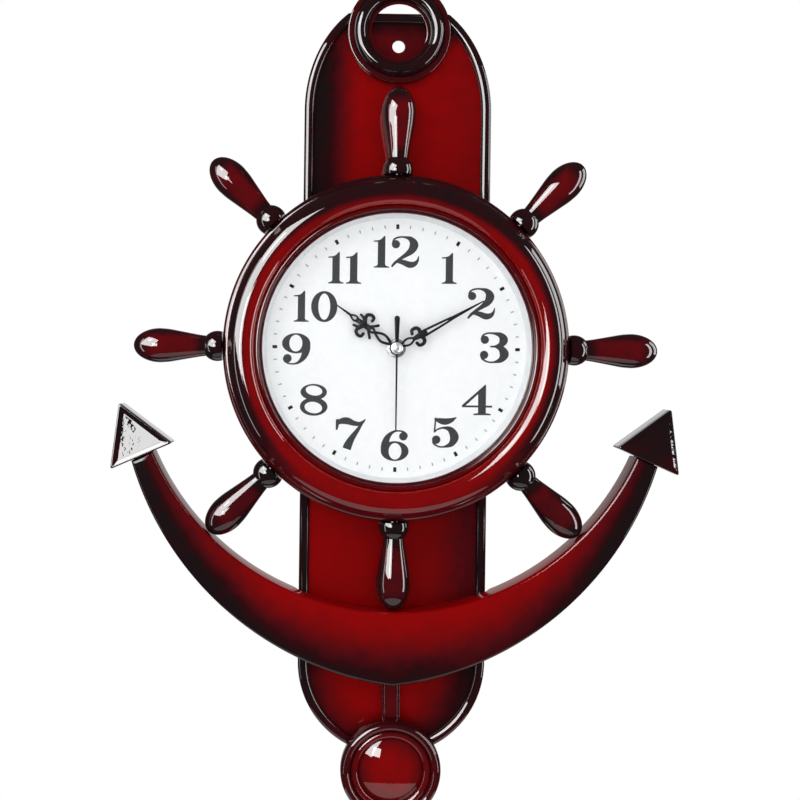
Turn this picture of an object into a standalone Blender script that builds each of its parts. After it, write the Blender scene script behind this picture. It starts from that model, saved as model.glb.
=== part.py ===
"""Wall clock shaped as an anchor with a ship's wheel, and a pendulum below.

Units are metres. In the clock's own frame x runs to the right, y up and z from the
wall towards the viewer, and the dial's centre is at x = y = 0. The wall frame stands
that upright: world +Z is up, the viewer is on the -Y side, and the origin is the
hanging hole, on the wall.
"""

import math

import bmesh
import bpy
from mathutils import Vector

# General
GAP = 0.0003  # clearance between pieces that touch
WALL = 0.0025  # wall of the large mouldings
WELD = 0.00001  # points closer than this are one

# Back panel
PANEL_WIDTH = 0.1486
PANEL_DEPTH = 0.022  # wall to the front of the panel's board
ARCH_LAP = 0.0164  # the straight sides turn into the arch this far below the tip of the top handle
ARCH_RISE = 0.092  # height of the full arch, before its flat top cuts it
ARCH_CUT = 0.0145  # height that the flat top takes off the arch
FOOT_DROP = 0.2498  # centre of the round foot, below the dial's centre
RIM_WIDTH = 0.008
RIM_HEIGHT = 0.004
RIB_THICKNESS = 0.002
RIB_DEPTH = 0.010
WINDOW_MARGIN = 0.006  # board left between the service window and the rim
HANG_DROP = 0.0258  # hanging hole, below the flat top
HANG_HOLE_RADIUS = 0.00525
HANG_BOSS_WALL = 0.004

# Anchor ring at the top
RING_RISE = 0.0102  # ring's centre above the hanging hole
RING_RADIUS = 0.0408
RING_OPENING = 0.022
RING_HEIGHT = 0.0125
RING_FLANGE_WIDTH = 0.005
RING_FLANGE_HEIGHT = 0.004
RING_FUNNEL = 0.003  # how much wider the opening is at the front

# Wheel bezel, turned round the dial
BEZEL_RADIUS = 0.1356
BEZEL_WIDTH = 0.0319  # outer edge to the lip round the lens
FLANGE_WIDTH = 0.0056
FLANGE_HEIGHT = 0.021  # above the panel's skin
FLANGE_ROUND = 0.0026
ROLL_HEIGHT = 0.020  # crest of the round moulding above the flange
STEP_WIDTH = 0.0075  # stepped band between the round moulding and the lip
BEAD_ROUND = 0.0016  # small bead on the stepped band
LIP_THICKNESS = 0.0015

# Dial, lens and the ring that spaces them
DIAL_FRONT = 0.018  # dial's face above the panel's skin
DIAL_THICKNESS = 0.0015
DIAL_TO_LENS = 0.011
LENS_THICKNESS = 0.0018
LENS_SEAT = 0.0033  # width of the ledge that holds the lens
DIAL_MARGIN = 0.005  # dial's edge beyond the lens
SPACER_SLOPE = 0.0022  # how far the spacer leans in from lens to dial
POST_RADIUS = 0.0035
BOSS_RADIUS = 0.004
BOSS_ANGLE = 21.0  # screw bosses to either side of the upright, degrees

# Wheel handles
HANDLE_COUNT = 8
HANDLE_LENGTH = 0.0696  # bezel's edge to the tip
HANDLE_BEAD_RADIUS = 0.012
HANDLE_BEAD_STANDOFF = 0.0042  # bead's centre outside the bezel's edge
NECK_RADIUS = 0.008
GRIP_RADIUS = 0.0135
GRIP_FULLEST = 0.63  # place of the widest section, as a share of the grip
GRIP_SWELL = 0.84  # radius a third of the way up the grip, as a share of the widest
PEG_RADIUS = 0.004
PEG_LENGTH = 0.007

# Anchor arms and flukes
ARMS_DEPTH = 0.024  # from the panel's skin to the front of the arms
ARM_SPREAD = 0.0405  # radius of the lower edge, less that of the upper edge
KEEL_SHIFT = 0.0307  # sideways shift of the two lower arcs, which leaves a keel
KEEL_DROP = 0.0188
ARM_END_ANGLE = 23.7  # end of each arm below the horizontal, degrees
ARM_BEVEL = 0.003
FLUKE_SIDE = 0.052
FLUKE_DEPTH = 0.020
FLUKE_PROUD = 0.001  # fluke's face in front of the arm's
FLUKE_BEVEL = 0.0014
TONGUE_WIDTH = 0.008
TONGUE_DEPTH = 0.010
TONGUE_LENGTH = 0.009

# Hands and the tubes that carry them
HOUR_TURN = 305.1  # degrees clockwise from twelve
MINUTE_TURN = 60.9
SECOND_TURN = 180.0
HAND_THICKNESS = 0.0005
HAND_SPACING = 0.0018
HOUR_LENGTH = 0.057
MINUTE_LENGTH = 0.0765
SECOND_LENGTH = 0.064
SECOND_TAIL = 0.0245
HUB_WALL = 0.0024  # of a hand, round its bore
ARBOR_RADIUS = 0.0005
TUBE_WALL = 0.0008
BUSH_WALL = 0.0012
NUT_RADIUS = 0.0066
NUT_HEIGHT = 0.002
WASHER_THICKNESS = 0.001
CAP_RADIUS = 0.0046
CAP_HEIGHT = 0.0022

# Bars that make up each pierced hand: knots of (metres to the side, share of the hand's
# length), width at the start, width at the end, and whether the bar has a mirror image
HOUR_BARS = (
    # long open leaf above the hub
    (((0, 0.08), (0.0028, 0.23), (0, 0.375)), 0.0016, 0.0014, True),
    # open diamond, and the barbs that hang from its top
    (((0, 0.36), (0.0016, 0.42), (0, 0.485)), 0.0012, 0.0012, True),
    (((0, 0.485), (0.0030, 0.432), (0.0059, 0.379)), 0.0014, 0.0018, True),
    # solid body, with a large scroll and a small hook to each side
    (((0, 0.47), (0, 0.65)), 0.0036, 0.0030, False),
    (((0, 0.53), (0.0044, 0.578), (0.0074, 0.588), (0.0093, 0.54), (0.0086, 0.49), (0.0060, 0.484)),
     0.0024, 0.0018, True),
    (((0.0010, 0.56), (0.0040, 0.60), (0.0049, 0.66)), 0.0022, 0.0014, True),
    # small open leaf and the needle
    (((0, 0.62), (0.0017, 0.70), (0, 0.785)), 0.0011, 0.0010, True),
    (((0, 0.76), (0, 1)), 0.0017, 0.0008, False),
)
MINUTE_BARS = (
    # open leaf above the hub
    (((0, 0.04), (0.0024, 0.135), (0, 0.22)), 0.0014, 0.0012, True),
    # solid body, with a scroll to each side
    (((0, 0.20), (0, 0.315)), 0.0024, 0.0052, False),
    (((0.0010, 0.28), (0.0046, 0.288), (0.0068, 0.262), (0.0064, 0.218), (0.0040, 0.206)),
     0.0026, 0.0019, True),
    # two long bars and the blade
    (((0.0020, 0.295), (0.0015, 0.45), (0.0008, 0.63)), 0.0014, 0.0012, True),
    (((0, 0.61), (0, 1)), 0.0026, 0.0009, False),
)
SECOND_BARS = (
    # needle and counterweight
    (((0, 0), (0, 1)), 0.0014, 0.0009, False),
    (((0, 0), (0, -SECOND_TAIL / SECOND_LENGTH)), 0.0024, 0.0037, False),
)

# Quartz movement
MOVEMENT_SIZE = 0.056
MOVEMENT_THICKNESS = 0.0155
CASE_WALL = 0.0012
CASE_ROUND = 0.003
SETTING_MODULE = 0.00055
CENTRE_MODULE = 0.0003
SECONDS_MODULE = 0.0004
ROTOR_MODULE = 0.0003
TOOTH_RISE = 0.45  # tooth above and below the pitch circle, in modules
TOOTH_DEPTH = 0.95
PINION_TEETH = 8
CANNON_TEETH = 10
MINUTE_WHEEL_TEETH = 30
HOUR_WHEEL_TEETH = 32
CENTRE_TEETH = 64
THIRD_TEETH = 60
SECONDS_TEETH = 32
INTERMEDIATE_TEETH = 60
WHEEL_THICKNESS = 0.001
LAYER_GAP = 0.0006  # between the wheels on top of each other
SETTING_DIRECTION = 0.0  # degrees, from the dial's centre
THIRD_DIRECTION = 150.0
INTERMEDIATE_DIRECTION = 110.0
ROTOR_DIRECTION = 45.0  # from the intermediate wheel's axis
KNOB_RADIUS = 0.006
KNOB_SHAFT = 0.0008  # radius
KNOB_HEIGHT = 0.003
MAGNET_RADIUS = 0.003
STATOR_THICKNESS = 0.0008
COIL_RADIUS = 0.0034
WIRE_SHARE = 0.8  # radius of the winding, as a share of its flanges
COIL_LENGTH = 0.020
BOARD_THICKNESS = 0.001
CELL_RADIUS = 0.0071
CELL_LENGTH = 0.0492
CELL_NUB = 0.0013
CONTACT_THICKNESS = 0.0004

# Pendulum and the unit that swings it
PIVOT_BELOW_EDGE = 0.0165  # pivot below the upper edge of the anchor arms
PENDULUM_LENGTH = 0.1102  # pivot to the bob's centre
ROD_WIDTH = 0.0138
ROD_THICKNESS = 0.002
ROD_EDGE = 0.0016  # width of the raised edge along the rod
ROD_OVERLAP = 0.012  # rod over the hanger
SWING_ANGLE = 8.0  # degrees to either side
PIVOT_RADIUS = 0.0015
PIVOT_HEAD = 0.003
HANGER_WIDTH = 0.010
HANGER_THICKNESS = 0.002
HANGER_LENGTH = 0.034
SWING_MAGNET_DROP = 0.024
SWING_MAGNET_RADIUS = 0.006
SWING_COIL_RADIUS = 0.008
UNIT_WIDTH = 0.062
UNIT_ABOVE_PIVOT = 0.010
UNIT_BELOW_PIVOT = 0.036
UNIT_REAR = 0.0015  # back of the unit in front of the wall
UNIT_WINDOW_MARGIN = 0.013  # board that overlaps each side of the unit
BOB_RADIUS = 0.0396
BOB_DEPTH = 0.0105
BOB_CAP_RADIUS = 0.0252
BOB_CAP_RISE = 0.0035
BOB_BEAD = 0.0031

# Facets
ROUND = 32
BOB_ROUND = 24
SMALL_ROUND = 12
HANDLE_ROUND = 10
ARBOR_ROUND = 10
BEND_COUNT = 2  # pieces of a hand's bar between two knots
FLAT_WITHIN = math.radians(0.2)  # faces that differ less than this are one flat face

# Sizes that follow from those above
HALF_WIDTH = PANEL_WIDTH / 2
HANDLE_TIP = BEZEL_RADIUS + HANDLE_LENGTH
ARCH_BASE = HANDLE_TIP - ARCH_LAP
PANEL_TOP = ARCH_BASE + ARCH_RISE - ARCH_CUT
HANG_RISE = PANEL_TOP - HANG_DROP
SKIN_FRONT = PANEL_DEPTH
SEAT = SKIN_FRONT + GAP  # rear of what stands on the panel
RIM_CREST = SKIN_FRONT + RIM_HEIGHT
BOARD_REAR = SKIN_FRONT - WALL
WINDOW_RADIUS = HALF_WIDTH - RIM_WIDTH - WINDOW_MARGIN
LIP_RADIUS = BEZEL_RADIUS - BEZEL_WIDTH
DIAL_FACE = SKIN_FRONT + DIAL_FRONT
DIAL_REAR = DIAL_FACE - DIAL_THICKNESS
LENS_REAR = DIAL_FACE + DIAL_TO_LENS
LENS_FRONT = LENS_REAR + LENS_THICKNESS
LENS_RADIUS = LIP_RADIUS + LENS_SEAT
DIAL_RADIUS = LENS_RADIUS + DIAL_MARGIN
POST_CIRCLE = DIAL_RADIUS + POST_RADIUS + GAP
ROLL_OUTER = BEZEL_RADIUS - FLANGE_WIDTH
ROLL_INNER = LIP_RADIUS + STEP_WIDTH
ROLL_CREST_RADIUS = (ROLL_OUTER + ROLL_INNER) / 2
FLANGE_TOP = SKIN_FRONT + FLANGE_HEIGHT
ROLL_CREST = FLANGE_TOP + ROLL_HEIGHT
BOSS_CIRCLE = ROLL_CREST_RADIUS + BOSS_RADIUS / 2
HANDLE_AXIS = SEAT + GRIP_RADIUS
ARMS_INNER = HANDLE_TIP + GAP
ARMS_OUTER = ARMS_INNER + ARM_SPREAD
ARMS_FRONT = SKIN_FRONT + ARMS_DEPTH
MOVEMENT_FRONT = DIAL_REAR - WASHER_THICKNESS - 2 * GAP
MOVEMENT_REAR = MOVEMENT_FRONT - MOVEMENT_THICKNESS
COVER_FRONT = MOVEMENT_REAR + CASE_WALL
SECOND_BORE = ARBOR_RADIUS + GAP
MINUTE_TUBE = SECOND_BORE + TUBE_WALL
MINUTE_BORE = MINUTE_TUBE + GAP
HOUR_TUBE = MINUTE_BORE + TUBE_WALL
BUSH_BORE = HOUR_TUBE + GAP
BUSH_RADIUS = BUSH_BORE + BUSH_WALL
NUT_REAR = DIAL_FACE + GAP
NUT_FRONT = NUT_REAR + NUT_HEIGHT
BUSH_FRONT = NUT_FRONT + GAP
HOUR_HAND_REAR = BUSH_FRONT + 2 * GAP
MINUTE_HAND_REAR = HOUR_HAND_REAR + HAND_SPACING
SECOND_HAND_REAR = MINUTE_HAND_REAR + HAND_SPACING
CAP_REAR = SECOND_HAND_REAR + HAND_THICKNESS + GAP
ARBOR_END = CAP_REAR + CAP_HEIGHT / 2
PIVOT_DROP = ARMS_INNER + PIVOT_BELOW_EDGE
UNIT_FRONT = BOARD_REAR - GAP
HANGER_REAR = SKIN_FRONT + HANGER_THICKNESS
HANGER_FRONT = HANGER_REAR + HANGER_THICKNESS
ROD_REAR = max(HANGER_FRONT, RIM_CREST) + GAP
ROD_FRONT = ROD_REAR + ROD_THICKNESS
BOB_REAR = ROD_FRONT + GAP

for leftover in list(bpy.data.objects):
    bpy.data.objects.remove(leftover)

PARTS = bpy.data.collections.new("anchor_clock")
CUTTERS = bpy.data.collections.new("cutters")
for holder in (PARTS, CUTTERS):
    bpy.context.scene.collection.children.link(holder)


def paint(name, colour, roughness, metallic=0.0):
    material = bpy.data.materials.new(name)
    material.use_nodes = True
    shader = material.node_tree.nodes["Principled BSDF"]
    shader.inputs["Base Color"].default_value = (*colour, 1.0)
    shader.inputs["Roughness"].default_value = roughness
    shader.inputs["Metallic"].default_value = metallic
    return material


LACQUER = paint("red_lacquer", (0.16, 0.004, 0.006), 0.12)
DARK_LACQUER = paint("dark_lacquer", (0.03, 0.006, 0.008), 0.12)
WHITE_CARD = paint("white_dial", (0.88, 0.89, 0.9), 0.5)
WHITE_PLASTIC = paint("white_plastic", (0.7, 0.71, 0.73), 0.4)
GLASS = paint("clear_glass", (0.9, 0.93, 0.95), 0.03)
BLACK_METAL = paint("black_metal", (0.012, 0.012, 0.013), 0.35, 0.6)
CHROME = paint("chrome", (0.8, 0.8, 0.82), 0.1, 1.0)
BRASS = paint("brass", (0.6, 0.43, 0.16), 0.3, 1.0)
STEEL = paint("steel", (0.55, 0.55, 0.57), 0.3, 1.0)
BLACK_PLASTIC = paint("black_plastic", (0.02, 0.02, 0.022), 0.5)
PALE_PLASTIC = paint("pale_gear_plastic", (0.75, 0.73, 0.66), 0.45)
COPPER = paint("copper_winding", (0.5, 0.2, 0.09), 0.35, 1.0)
BOARD_GREEN = paint("board_green", (0.03, 0.16, 0.07), 0.45)
MAGNET_GREY = paint("magnet_grey", (0.1, 0.1, 0.11), 0.4, 0.7)
RUBBER = paint("black_rubber", (0.015, 0.015, 0.015), 0.8)
CELL_SLEEVE = paint("cell_sleeve", (0.05, 0.06, 0.09), 0.35)


def place(name, data, parent, location=(0, 0, 0), rotation=(0, 0, 0), holder=PARTS):
    obj = bpy.data.objects.new(name, data)
    holder.objects.link(obj)
    obj.parent = parent
    obj.location = location
    obj.rotation_euler = rotation
    if holder is CUTTERS:
        obj.hide_render = True
        obj.display_type = "WIRE"
    return obj


def frame(name, parent, location, rotation=(0, 0, 0)):
    return place(name, None, parent, location, rotation)


def finish(obj, material):
    """Gives a piece its material, and joins the flat faces that its cuts and joins have split."""
    if any(modifier.type == "BOOLEAN" for modifier in obj.modifiers):
        tidy = obj.modifiers.new("tidy", "DECIMATE")
        tidy.decimate_type = "DISSOLVE"
        tidy.angle_limit = FLAT_WITHIN
    obj.data.materials.append(material)
    obj.data.shade_smooth()
    obj.data.set_sharp_from_angle(angle=math.radians(35))
    return obj


def combine(target, tool, operation="DIFFERENCE"):
    modifier = target.modifiers.new(f"{operation.lower()}_{tool.name}", "BOOLEAN")
    modifier.operation = operation
    modifier.object = tool


def to_mesh(name, bm):
    bmesh.ops.recalc_face_normals(bm, faces=bm.faces)
    mesh = bpy.data.meshes.new(name)
    bm.to_mesh(mesh)
    bm.free()
    return mesh


def arc(centre, radii, start, end, steps):
    """Points on an ellipse, from one angle to another in degrees, both ends included."""
    points = []
    for step in range(steps + 1):
        angle = math.radians(start + (end - start) * step / steps)
        points.append((centre[0] + radii[0] * math.cos(angle), centre[1] + radii[1] * math.sin(angle)))
    return points


def circle(centre, radius, sides=SMALL_ROUND):
    return arc(centre, (radius, radius), 0, 360 - 360 / sides, sides - 1)


def polar(radius, degrees):
    return radius * math.cos(math.radians(degrees)), radius * math.sin(math.radians(degrees))


def smooth_path(knots, steps):
    """Points along a smooth curve through the given ones."""
    ends = [Vector(knot) for knot in knots]
    ends = [2 * ends[0] - ends[1], *ends, 2 * ends[-1] - ends[-2]]
    path = []
    for a, b, c, d in zip(ends, ends[1:], ends[2:], ends[3:]):
        slope, bow, twist = c - a, 2 * a - 5 * b + 4 * c - d, 3 * b - a - 3 * c + d
        for step in range(steps):
            t = step / steps
            path.append(b + (slope * t + bow * t**2 + twist * t**3) / 2)
    return [*path, ends[-2]]


def turned(name, profile, parent, segments=ROUND, closed=True, holder=PARTS, **placing):
    """A profile of (radius, height) points turned round the z axis; an open one ends on the axis."""
    area = sum(a[0] * b[1] - b[0] * a[1] for a, b in zip(profile, [*profile[1:], profile[0]]))
    if area > 0:  # the outer side runs from top to bottom
        profile = profile[::-1]
    mesh = bpy.data.meshes.new(name)
    count = len(profile)
    edges = [(i, (i + 1) % count) for i in range(count if closed else count - 1)]
    mesh.from_pydata([(radius, 0, height) for radius, height in profile], edges, [])
    obj = place(name, mesh, parent, holder=holder, **placing)
    screw = obj.modifiers.new("turn", "SCREW")
    screw.steps = segments
    screw.render_steps = segments
    screw.use_merge_vertices = True
    screw.merge_threshold = WELD
    return obj


def plate(name, loops, bottom, top, parent, holder=PARTS, **placing):
    """A flat piece from closed outlines: the first is its edge, the others are holes."""
    curve = bpy.data.curves.new(name, "CURVE")
    curve.dimensions = "2D"
    curve.fill_mode = "BOTH"
    curve.extrude = (top - bottom) / 2
    for loop in loops:
        spline = curve.splines.new("POLY")
        spline.points.add(len(loop) - 1)
        for point, (x, y) in zip(spline.points, loop):
            point.co = (x, y, 0, 1)
        spline.use_cyclic_u = True
    guide = bpy.data.objects.new(name + "_outline", curve)
    bpy.context.scene.collection.objects.link(guide)
    solid = bpy.data.meshes.new_from_object(guide.evaluated_get(bpy.context.evaluated_depsgraph_get()))
    bpy.data.objects.remove(guide)
    bm = bmesh.new()
    bm.from_mesh(solid)
    bpy.data.meshes.remove(solid)
    bmesh.ops.remove_doubles(bm, verts=bm.verts, dist=WELD)
    bmesh.ops.translate(bm, vec=(0, 0, (top + bottom) / 2), verts=bm.verts)
    return place(name, to_mesh(name, bm), parent, holder=holder, **placing)


def moulding(name, outline, rear, steps, parent, wall=None, holder=PARTS, **placing):
    """An outline raised through (inset, height) steps; with a wall it is a shell, open at the rear."""
    bm = bmesh.new()
    back = bm.faces.new([bm.verts.new((x, y, rear)) for x, y in outline])
    raised = bmesh.ops.extrude_face_region(bm, geom=[back])["geom"]
    front = next(item for item in raised if isinstance(item, bmesh.types.BMFace))
    inset, height = 0.0, rear
    for next_inset, next_height in steps:
        if next_inset > inset:
            bmesh.ops.inset_region(bm, faces=[front], thickness=next_inset - inset, use_even_offset=True)
        bmesh.ops.translate(bm, vec=(0, 0, next_height - height), verts=front.verts)
        inset, height = next_inset, next_height
    bmesh.ops.recalc_face_normals(bm, faces=bm.faces)
    if wall:
        bmesh.ops.delete(bm, geom=[back], context="FACES_ONLY")
    mesh = bpy.data.meshes.new(name)
    bm.to_mesh(mesh)
    bm.free()
    obj = place(name, mesh, parent, holder=holder, **placing)
    if wall:
        solidify = obj.modifiers.new("wall", "SOLIDIFY")
        solidify.thickness = wall
        solidify.use_even_offset = True
    return obj


def looped(name, rings, parent, holder=PARTS, **placing):
    """Outlines at their heights, joined in turn and back to the first: a frame with that section."""
    bm = bmesh.new()
    loops = [[bm.verts.new((x, y, height)) for x, y in outline] for outline, height in rings]
    for loop, following in zip(loops, loops[1:] + loops[:1]):
        for i, corner in enumerate(loop):
            bm.faces.new((loop[i - 1], corner, following[i], following[i - 1]))
    bmesh.ops.recalc_face_normals(bm, faces=bm.faces)
    return place(name, to_mesh(name, bm), parent, holder=holder, **placing)


def cylinders(name, places, radius, bottom, top, parent, segments=SMALL_ROUND, holder=CUTTERS, **placing):
    """Round bars of one size along z, at each (x, y) place."""
    bm = bmesh.new()
    for x, y in places:
        made = bmesh.ops.create_cone(
            bm, cap_ends=True, segments=segments, radius1=radius, radius2=radius, depth=top - bottom
        )
        bmesh.ops.translate(bm, vec=(x, y, (top + bottom) / 2), verts=made["verts"])
    return place(name, to_mesh(name, bm), parent, holder=holder, **placing)


def boxes(name, spans, parent, holder=CUTTERS, **placing):
    """Boxes from (low corner, high corner) pairs."""
    bm = bmesh.new()
    for low, high in spans:
        low, high = Vector(low), Vector(high)
        made = bmesh.ops.create_cube(bm, size=1.0)
        bmesh.ops.scale(bm, vec=high - low, verts=made["verts"])
        bmesh.ops.translate(bm, vec=(high + low) / 2, verts=made["verts"])
    return place(name, to_mesh(name, bm), parent, holder=holder, **placing)


def rounded_square(low, high, radius, steps=3):
    left, right = low[0] + radius, high[0] - radius
    bottom, top = low[1] + radius, high[1] - radius
    centres = ((right, top), (left, top), (left, bottom), (right, bottom))
    outline = []
    for quarter, centre in enumerate(centres):
        outline += arc(centre, (radius, radius), 90 * quarter, 90 * quarter + 90, steps)
    return outline


WALL_FRAME = frame("wall_frame", None, (0, 0, 0), (math.pi / 2, 0, 0))
DIAL_AXIS = frame("dial_axis", WALL_FRAME, (0, -HANG_RISE, 0))


# Back panel, and what sits on it at the top


def panel_outline(inset=0.0):
    half = HALF_WIDTH - inset
    rise = ARCH_RISE - inset
    cut = math.degrees(math.asin((PANEL_TOP - inset - ARCH_BASE) / rise))
    right = arc((0, ARCH_BASE), (half, rise), cut, 0, 6)
    left = arc((0, ARCH_BASE), (half, rise), 180, 180 - cut, 6)
    return right + arc((0, -FOOT_DROP), (half, half), 0, -180, 16) + left


def rim_clearance():
    """The space that the panel's rim takes, with the gap that its neighbours keep."""
    band = [panel_outline(-GAP), panel_outline(RIM_WIDTH + GAP)]
    return plate("rim_clearance", band, 0, RIM_CREST + GAP, DIAL_AXIS, CUTTERS)


def panel_frame():
    """A wall round the board, with a half-round rim that laps over the board's front."""
    section = [(0, 0)]
    for angle in range(0, 181, 45):
        across = RIM_WIDTH * (1 - math.cos(math.radians(angle))) / 2
        section.append((across, SEAT + (RIM_CREST - SEAT) * math.sin(math.radians(angle))))
    section += [(WALL, SEAT), (WALL, 0)]
    rings = [(panel_outline(inset), height) for inset, height in section]
    return finish(looped("panel_frame", rings, DIAL_AXIS), DARK_LACQUER)


def back_panel():
    half = UNIT_WIDTH / 2 - UNIT_WINDOW_MARGIN
    low = -PIVOT_DROP - UNIT_BELOW_PIVOT + RIB_THICKNESS
    high = -PIVOT_DROP + UNIT_ABOVE_PIVOT - RIB_THICKNESS
    hanging_hole = circle((0, HANG_RISE), HANG_HOLE_RADIUS)
    service_window = circle((0, 0), WINDOW_RADIUS, ROUND)
    unit_window = [(-half, low), (half, low), (half, high), (-half, high)]
    loops = [panel_outline(WALL + GAP), hanging_hole, service_window, unit_window]
    return finish(plate("back_panel", loops, BOARD_REAR, SKIN_FRONT, DIAL_AXIS), LACQUER)


def panel_fittings():
    """What stands on the rear of the board: three cross ribs and the boss of the hanging hole."""
    inner = HALF_WIDTH - WALL - GAP
    top = BOARD_REAR - GAP
    rows = {"top": ARCH_BASE - RIB_THICKNESS, "upper": HALF_WIDTH - RIM_WIDTH}
    rows["lower"] = -rows["upper"]
    for row, y in rows.items():
        span = ((-inner, y, SKIN_FRONT - RIB_DEPTH), (inner, y + RIB_THICKNESS, top))
        finish(boxes("cross_rib_" + row, [span], DIAL_AXIS, PARTS), BLACK_PLASTIC)
    outer = HANG_HOLE_RADIUS + HANG_BOSS_WALL
    profile = [(HANG_HOLE_RADIUS, 0), (outer, 0), (outer, top), (HANG_HOLE_RADIUS, top)]
    boss = turned("hanging_boss", profile, DIAL_AXIS, SMALL_ROUND, location=(0, HANG_RISE, 0))
    return finish(boss, BLACK_PLASTIC)


def anchor_ring(rim):
    flange_inner = RING_RADIUS - RING_FLANGE_WIDTH
    mouth = RING_OPENING + RING_FUNNEL
    flange_top = SEAT + RING_FLANGE_HEIGHT
    crest = ((flange_inner + mouth) / 2, flange_top)
    roll = (flange_inner - crest[0], SEAT + RING_HEIGHT - flange_top)
    round_edge = RING_FLANGE_HEIGHT / 3
    profile = [(RING_OPENING, SEAT), (RING_RADIUS, SEAT), (RING_RADIUS, flange_top - round_edge)]
    profile += [(RING_RADIUS - round_edge, flange_top), (flange_inner + round_edge, flange_top)]
    profile += arc(crest, roll, 0, 180, 6)
    ring = turned("anchor_ring", profile, DIAL_AXIS, location=(0, HANG_RISE + RING_RISE, 0))
    combine(ring, rim)
    return finish(ring, DARK_LACQUER)


# Wheel: bezel with its handles


def bezel_profile():
    seat = LENS_FRONT + GAP
    lip_top = seat + LIP_THICKNESS
    step_top = lip_top + BEAD_ROUND
    edge = (BEZEL_RADIUS - FLANGE_ROUND, FLANGE_TOP - FLANGE_ROUND)
    outer = ROLL_OUTER - ROLL_CREST_RADIUS
    inner = ROLL_CREST_RADIUS - ROLL_INNER
    profile = [(BEZEL_RADIUS, SEAT)]
    profile += arc(edge, (FLANGE_ROUND, FLANGE_ROUND), 0, 90, 2)
    profile += arc((ROLL_CREST_RADIUS, FLANGE_TOP), (outer, ROLL_HEIGHT), 0, 90, 4)
    profile += arc((ROLL_CREST_RADIUS, step_top), (inner, ROLL_CREST - step_top), 90, 180, 4)[1:]
    bead = ((LIP_RADIUS + ROLL_INNER) / 2, step_top)
    profile += arc(bead, (BEAD_ROUND, BEAD_ROUND), 0, 180, 2)
    profile += [(LIP_RADIUS, lip_top), (LIP_RADIUS, seat), (LENS_RADIUS + GAP, seat)]
    profile += [(ROLL_INNER + WALL, step_top - WALL)]
    profile += [(ROLL_CREST_RADIUS, ROLL_CREST - WALL)]
    profile += arc((ROLL_CREST_RADIUS, FLANGE_TOP), (outer - WALL, ROLL_HEIGHT - WALL), 40, 0, 1)
    profile += [(ROLL_OUTER - WALL, FLANGE_TOP - WALL), (BEZEL_RADIUS - WALL, FLANGE_TOP - WALL)]
    profile += [(BEZEL_RADIUS - WALL, SEAT)]
    return profile


def wheel_bezel(rim):
    bezel = turned("wheel_bezel", bezel_profile(), DIAL_AXIS)
    inside_crest = ROLL_CREST - 2 * WALL
    posts = [polar(POST_CIRCLE, angle) for angle in (45, 135, 225, 315)]
    post_round = SMALL_ROUND // 2
    dial_posts = cylinders("dial_posts", posts, POST_RADIUS, DIAL_REAR, inside_crest, DIAL_AXIS, post_round)
    combine(bezel, dial_posts, "UNION")
    places = [polar(BOSS_CIRCLE, side + lean) for side in (90, 270) for lean in (-BOSS_ANGLE, BOSS_ANGLE)]
    bosses = cylinders("panel_bosses", places, BOSS_RADIUS, SEAT, inside_crest, DIAL_AXIS, post_round)
    combine(bezel, bosses, "UNION")
    combine(bezel, rim)
    for number in range(HANDLE_COUNT):
        combine(bezel, peg_hole(number))
    return finish(bezel, LACQUER)


def handle_turn(number):
    """Lays the z axis of a handle out from the dial's centre; number 0 points up."""
    return (0, math.pi / 2, math.pi / 2 - 2 * math.pi * number / HANDLE_COUNT)


def peg_hole(number):
    inner = BEZEL_RADIUS - PEG_LENGTH - GAP
    name = f"peg_hole_{number + 1}"
    placing = {"location": (0, 0, HANDLE_AXIS), "rotation": handle_turn(number)}
    return cylinders(name, [(0, 0)], PEG_RADIUS + GAP, inner, HANDLE_TIP, DIAL_AXIS, HANDLE_ROUND, **placing)


def wheel_handle(number):
    bead = BEZEL_RADIUS + HANDLE_BEAD_STANDOFF
    foot = BEZEL_RADIUS + GAP
    neck = bead + math.sqrt(HANDLE_BEAD_RADIUS**2 - NECK_RADIUS**2)
    grip = HANDLE_TIP - neck
    fullest = neck + GRIP_FULLEST * grip
    blunt = HANDLE_TIP - fullest
    end = [(x, fullest + y) for x, y in arc((0, 0), (GRIP_RADIUS, blunt), 90, 0, 4)]
    middle = (GRIP_SWELL * GRIP_RADIUS, neck + grip / 3)
    swell = smooth_path([(GRIP_RADIUS, fullest), middle, (NECK_RADIUS, neck)], 2)
    to_neck = math.degrees(math.acos(NECK_RADIUS / HANDLE_BEAD_RADIUS))
    to_foot = -math.degrees(math.asin((bead - foot) / HANDLE_BEAD_RADIUS))
    ball = arc((0, bead), (HANDLE_BEAD_RADIUS, HANDLE_BEAD_RADIUS), to_neck, to_foot, 3)
    peg = [(PEG_RADIUS, foot), (PEG_RADIUS, BEZEL_RADIUS - PEG_LENGTH), (0, BEZEL_RADIUS - PEG_LENGTH)]
    profile = [(0, HANDLE_TIP), *end[1:], *[tuple(point) for point in swell[1:-1]], *ball, *peg]
    name = f"wheel_handle_{number + 1}"
    placing = {"location": (0, 0, HANDLE_AXIS), "rotation": handle_turn(number)}
    handle = turned(name, profile, DIAL_AXIS, HANDLE_ROUND, closed=False, **placing)
    return finish(handle, DARK_LACQUER)


# Dial, lens and spacer


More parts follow.
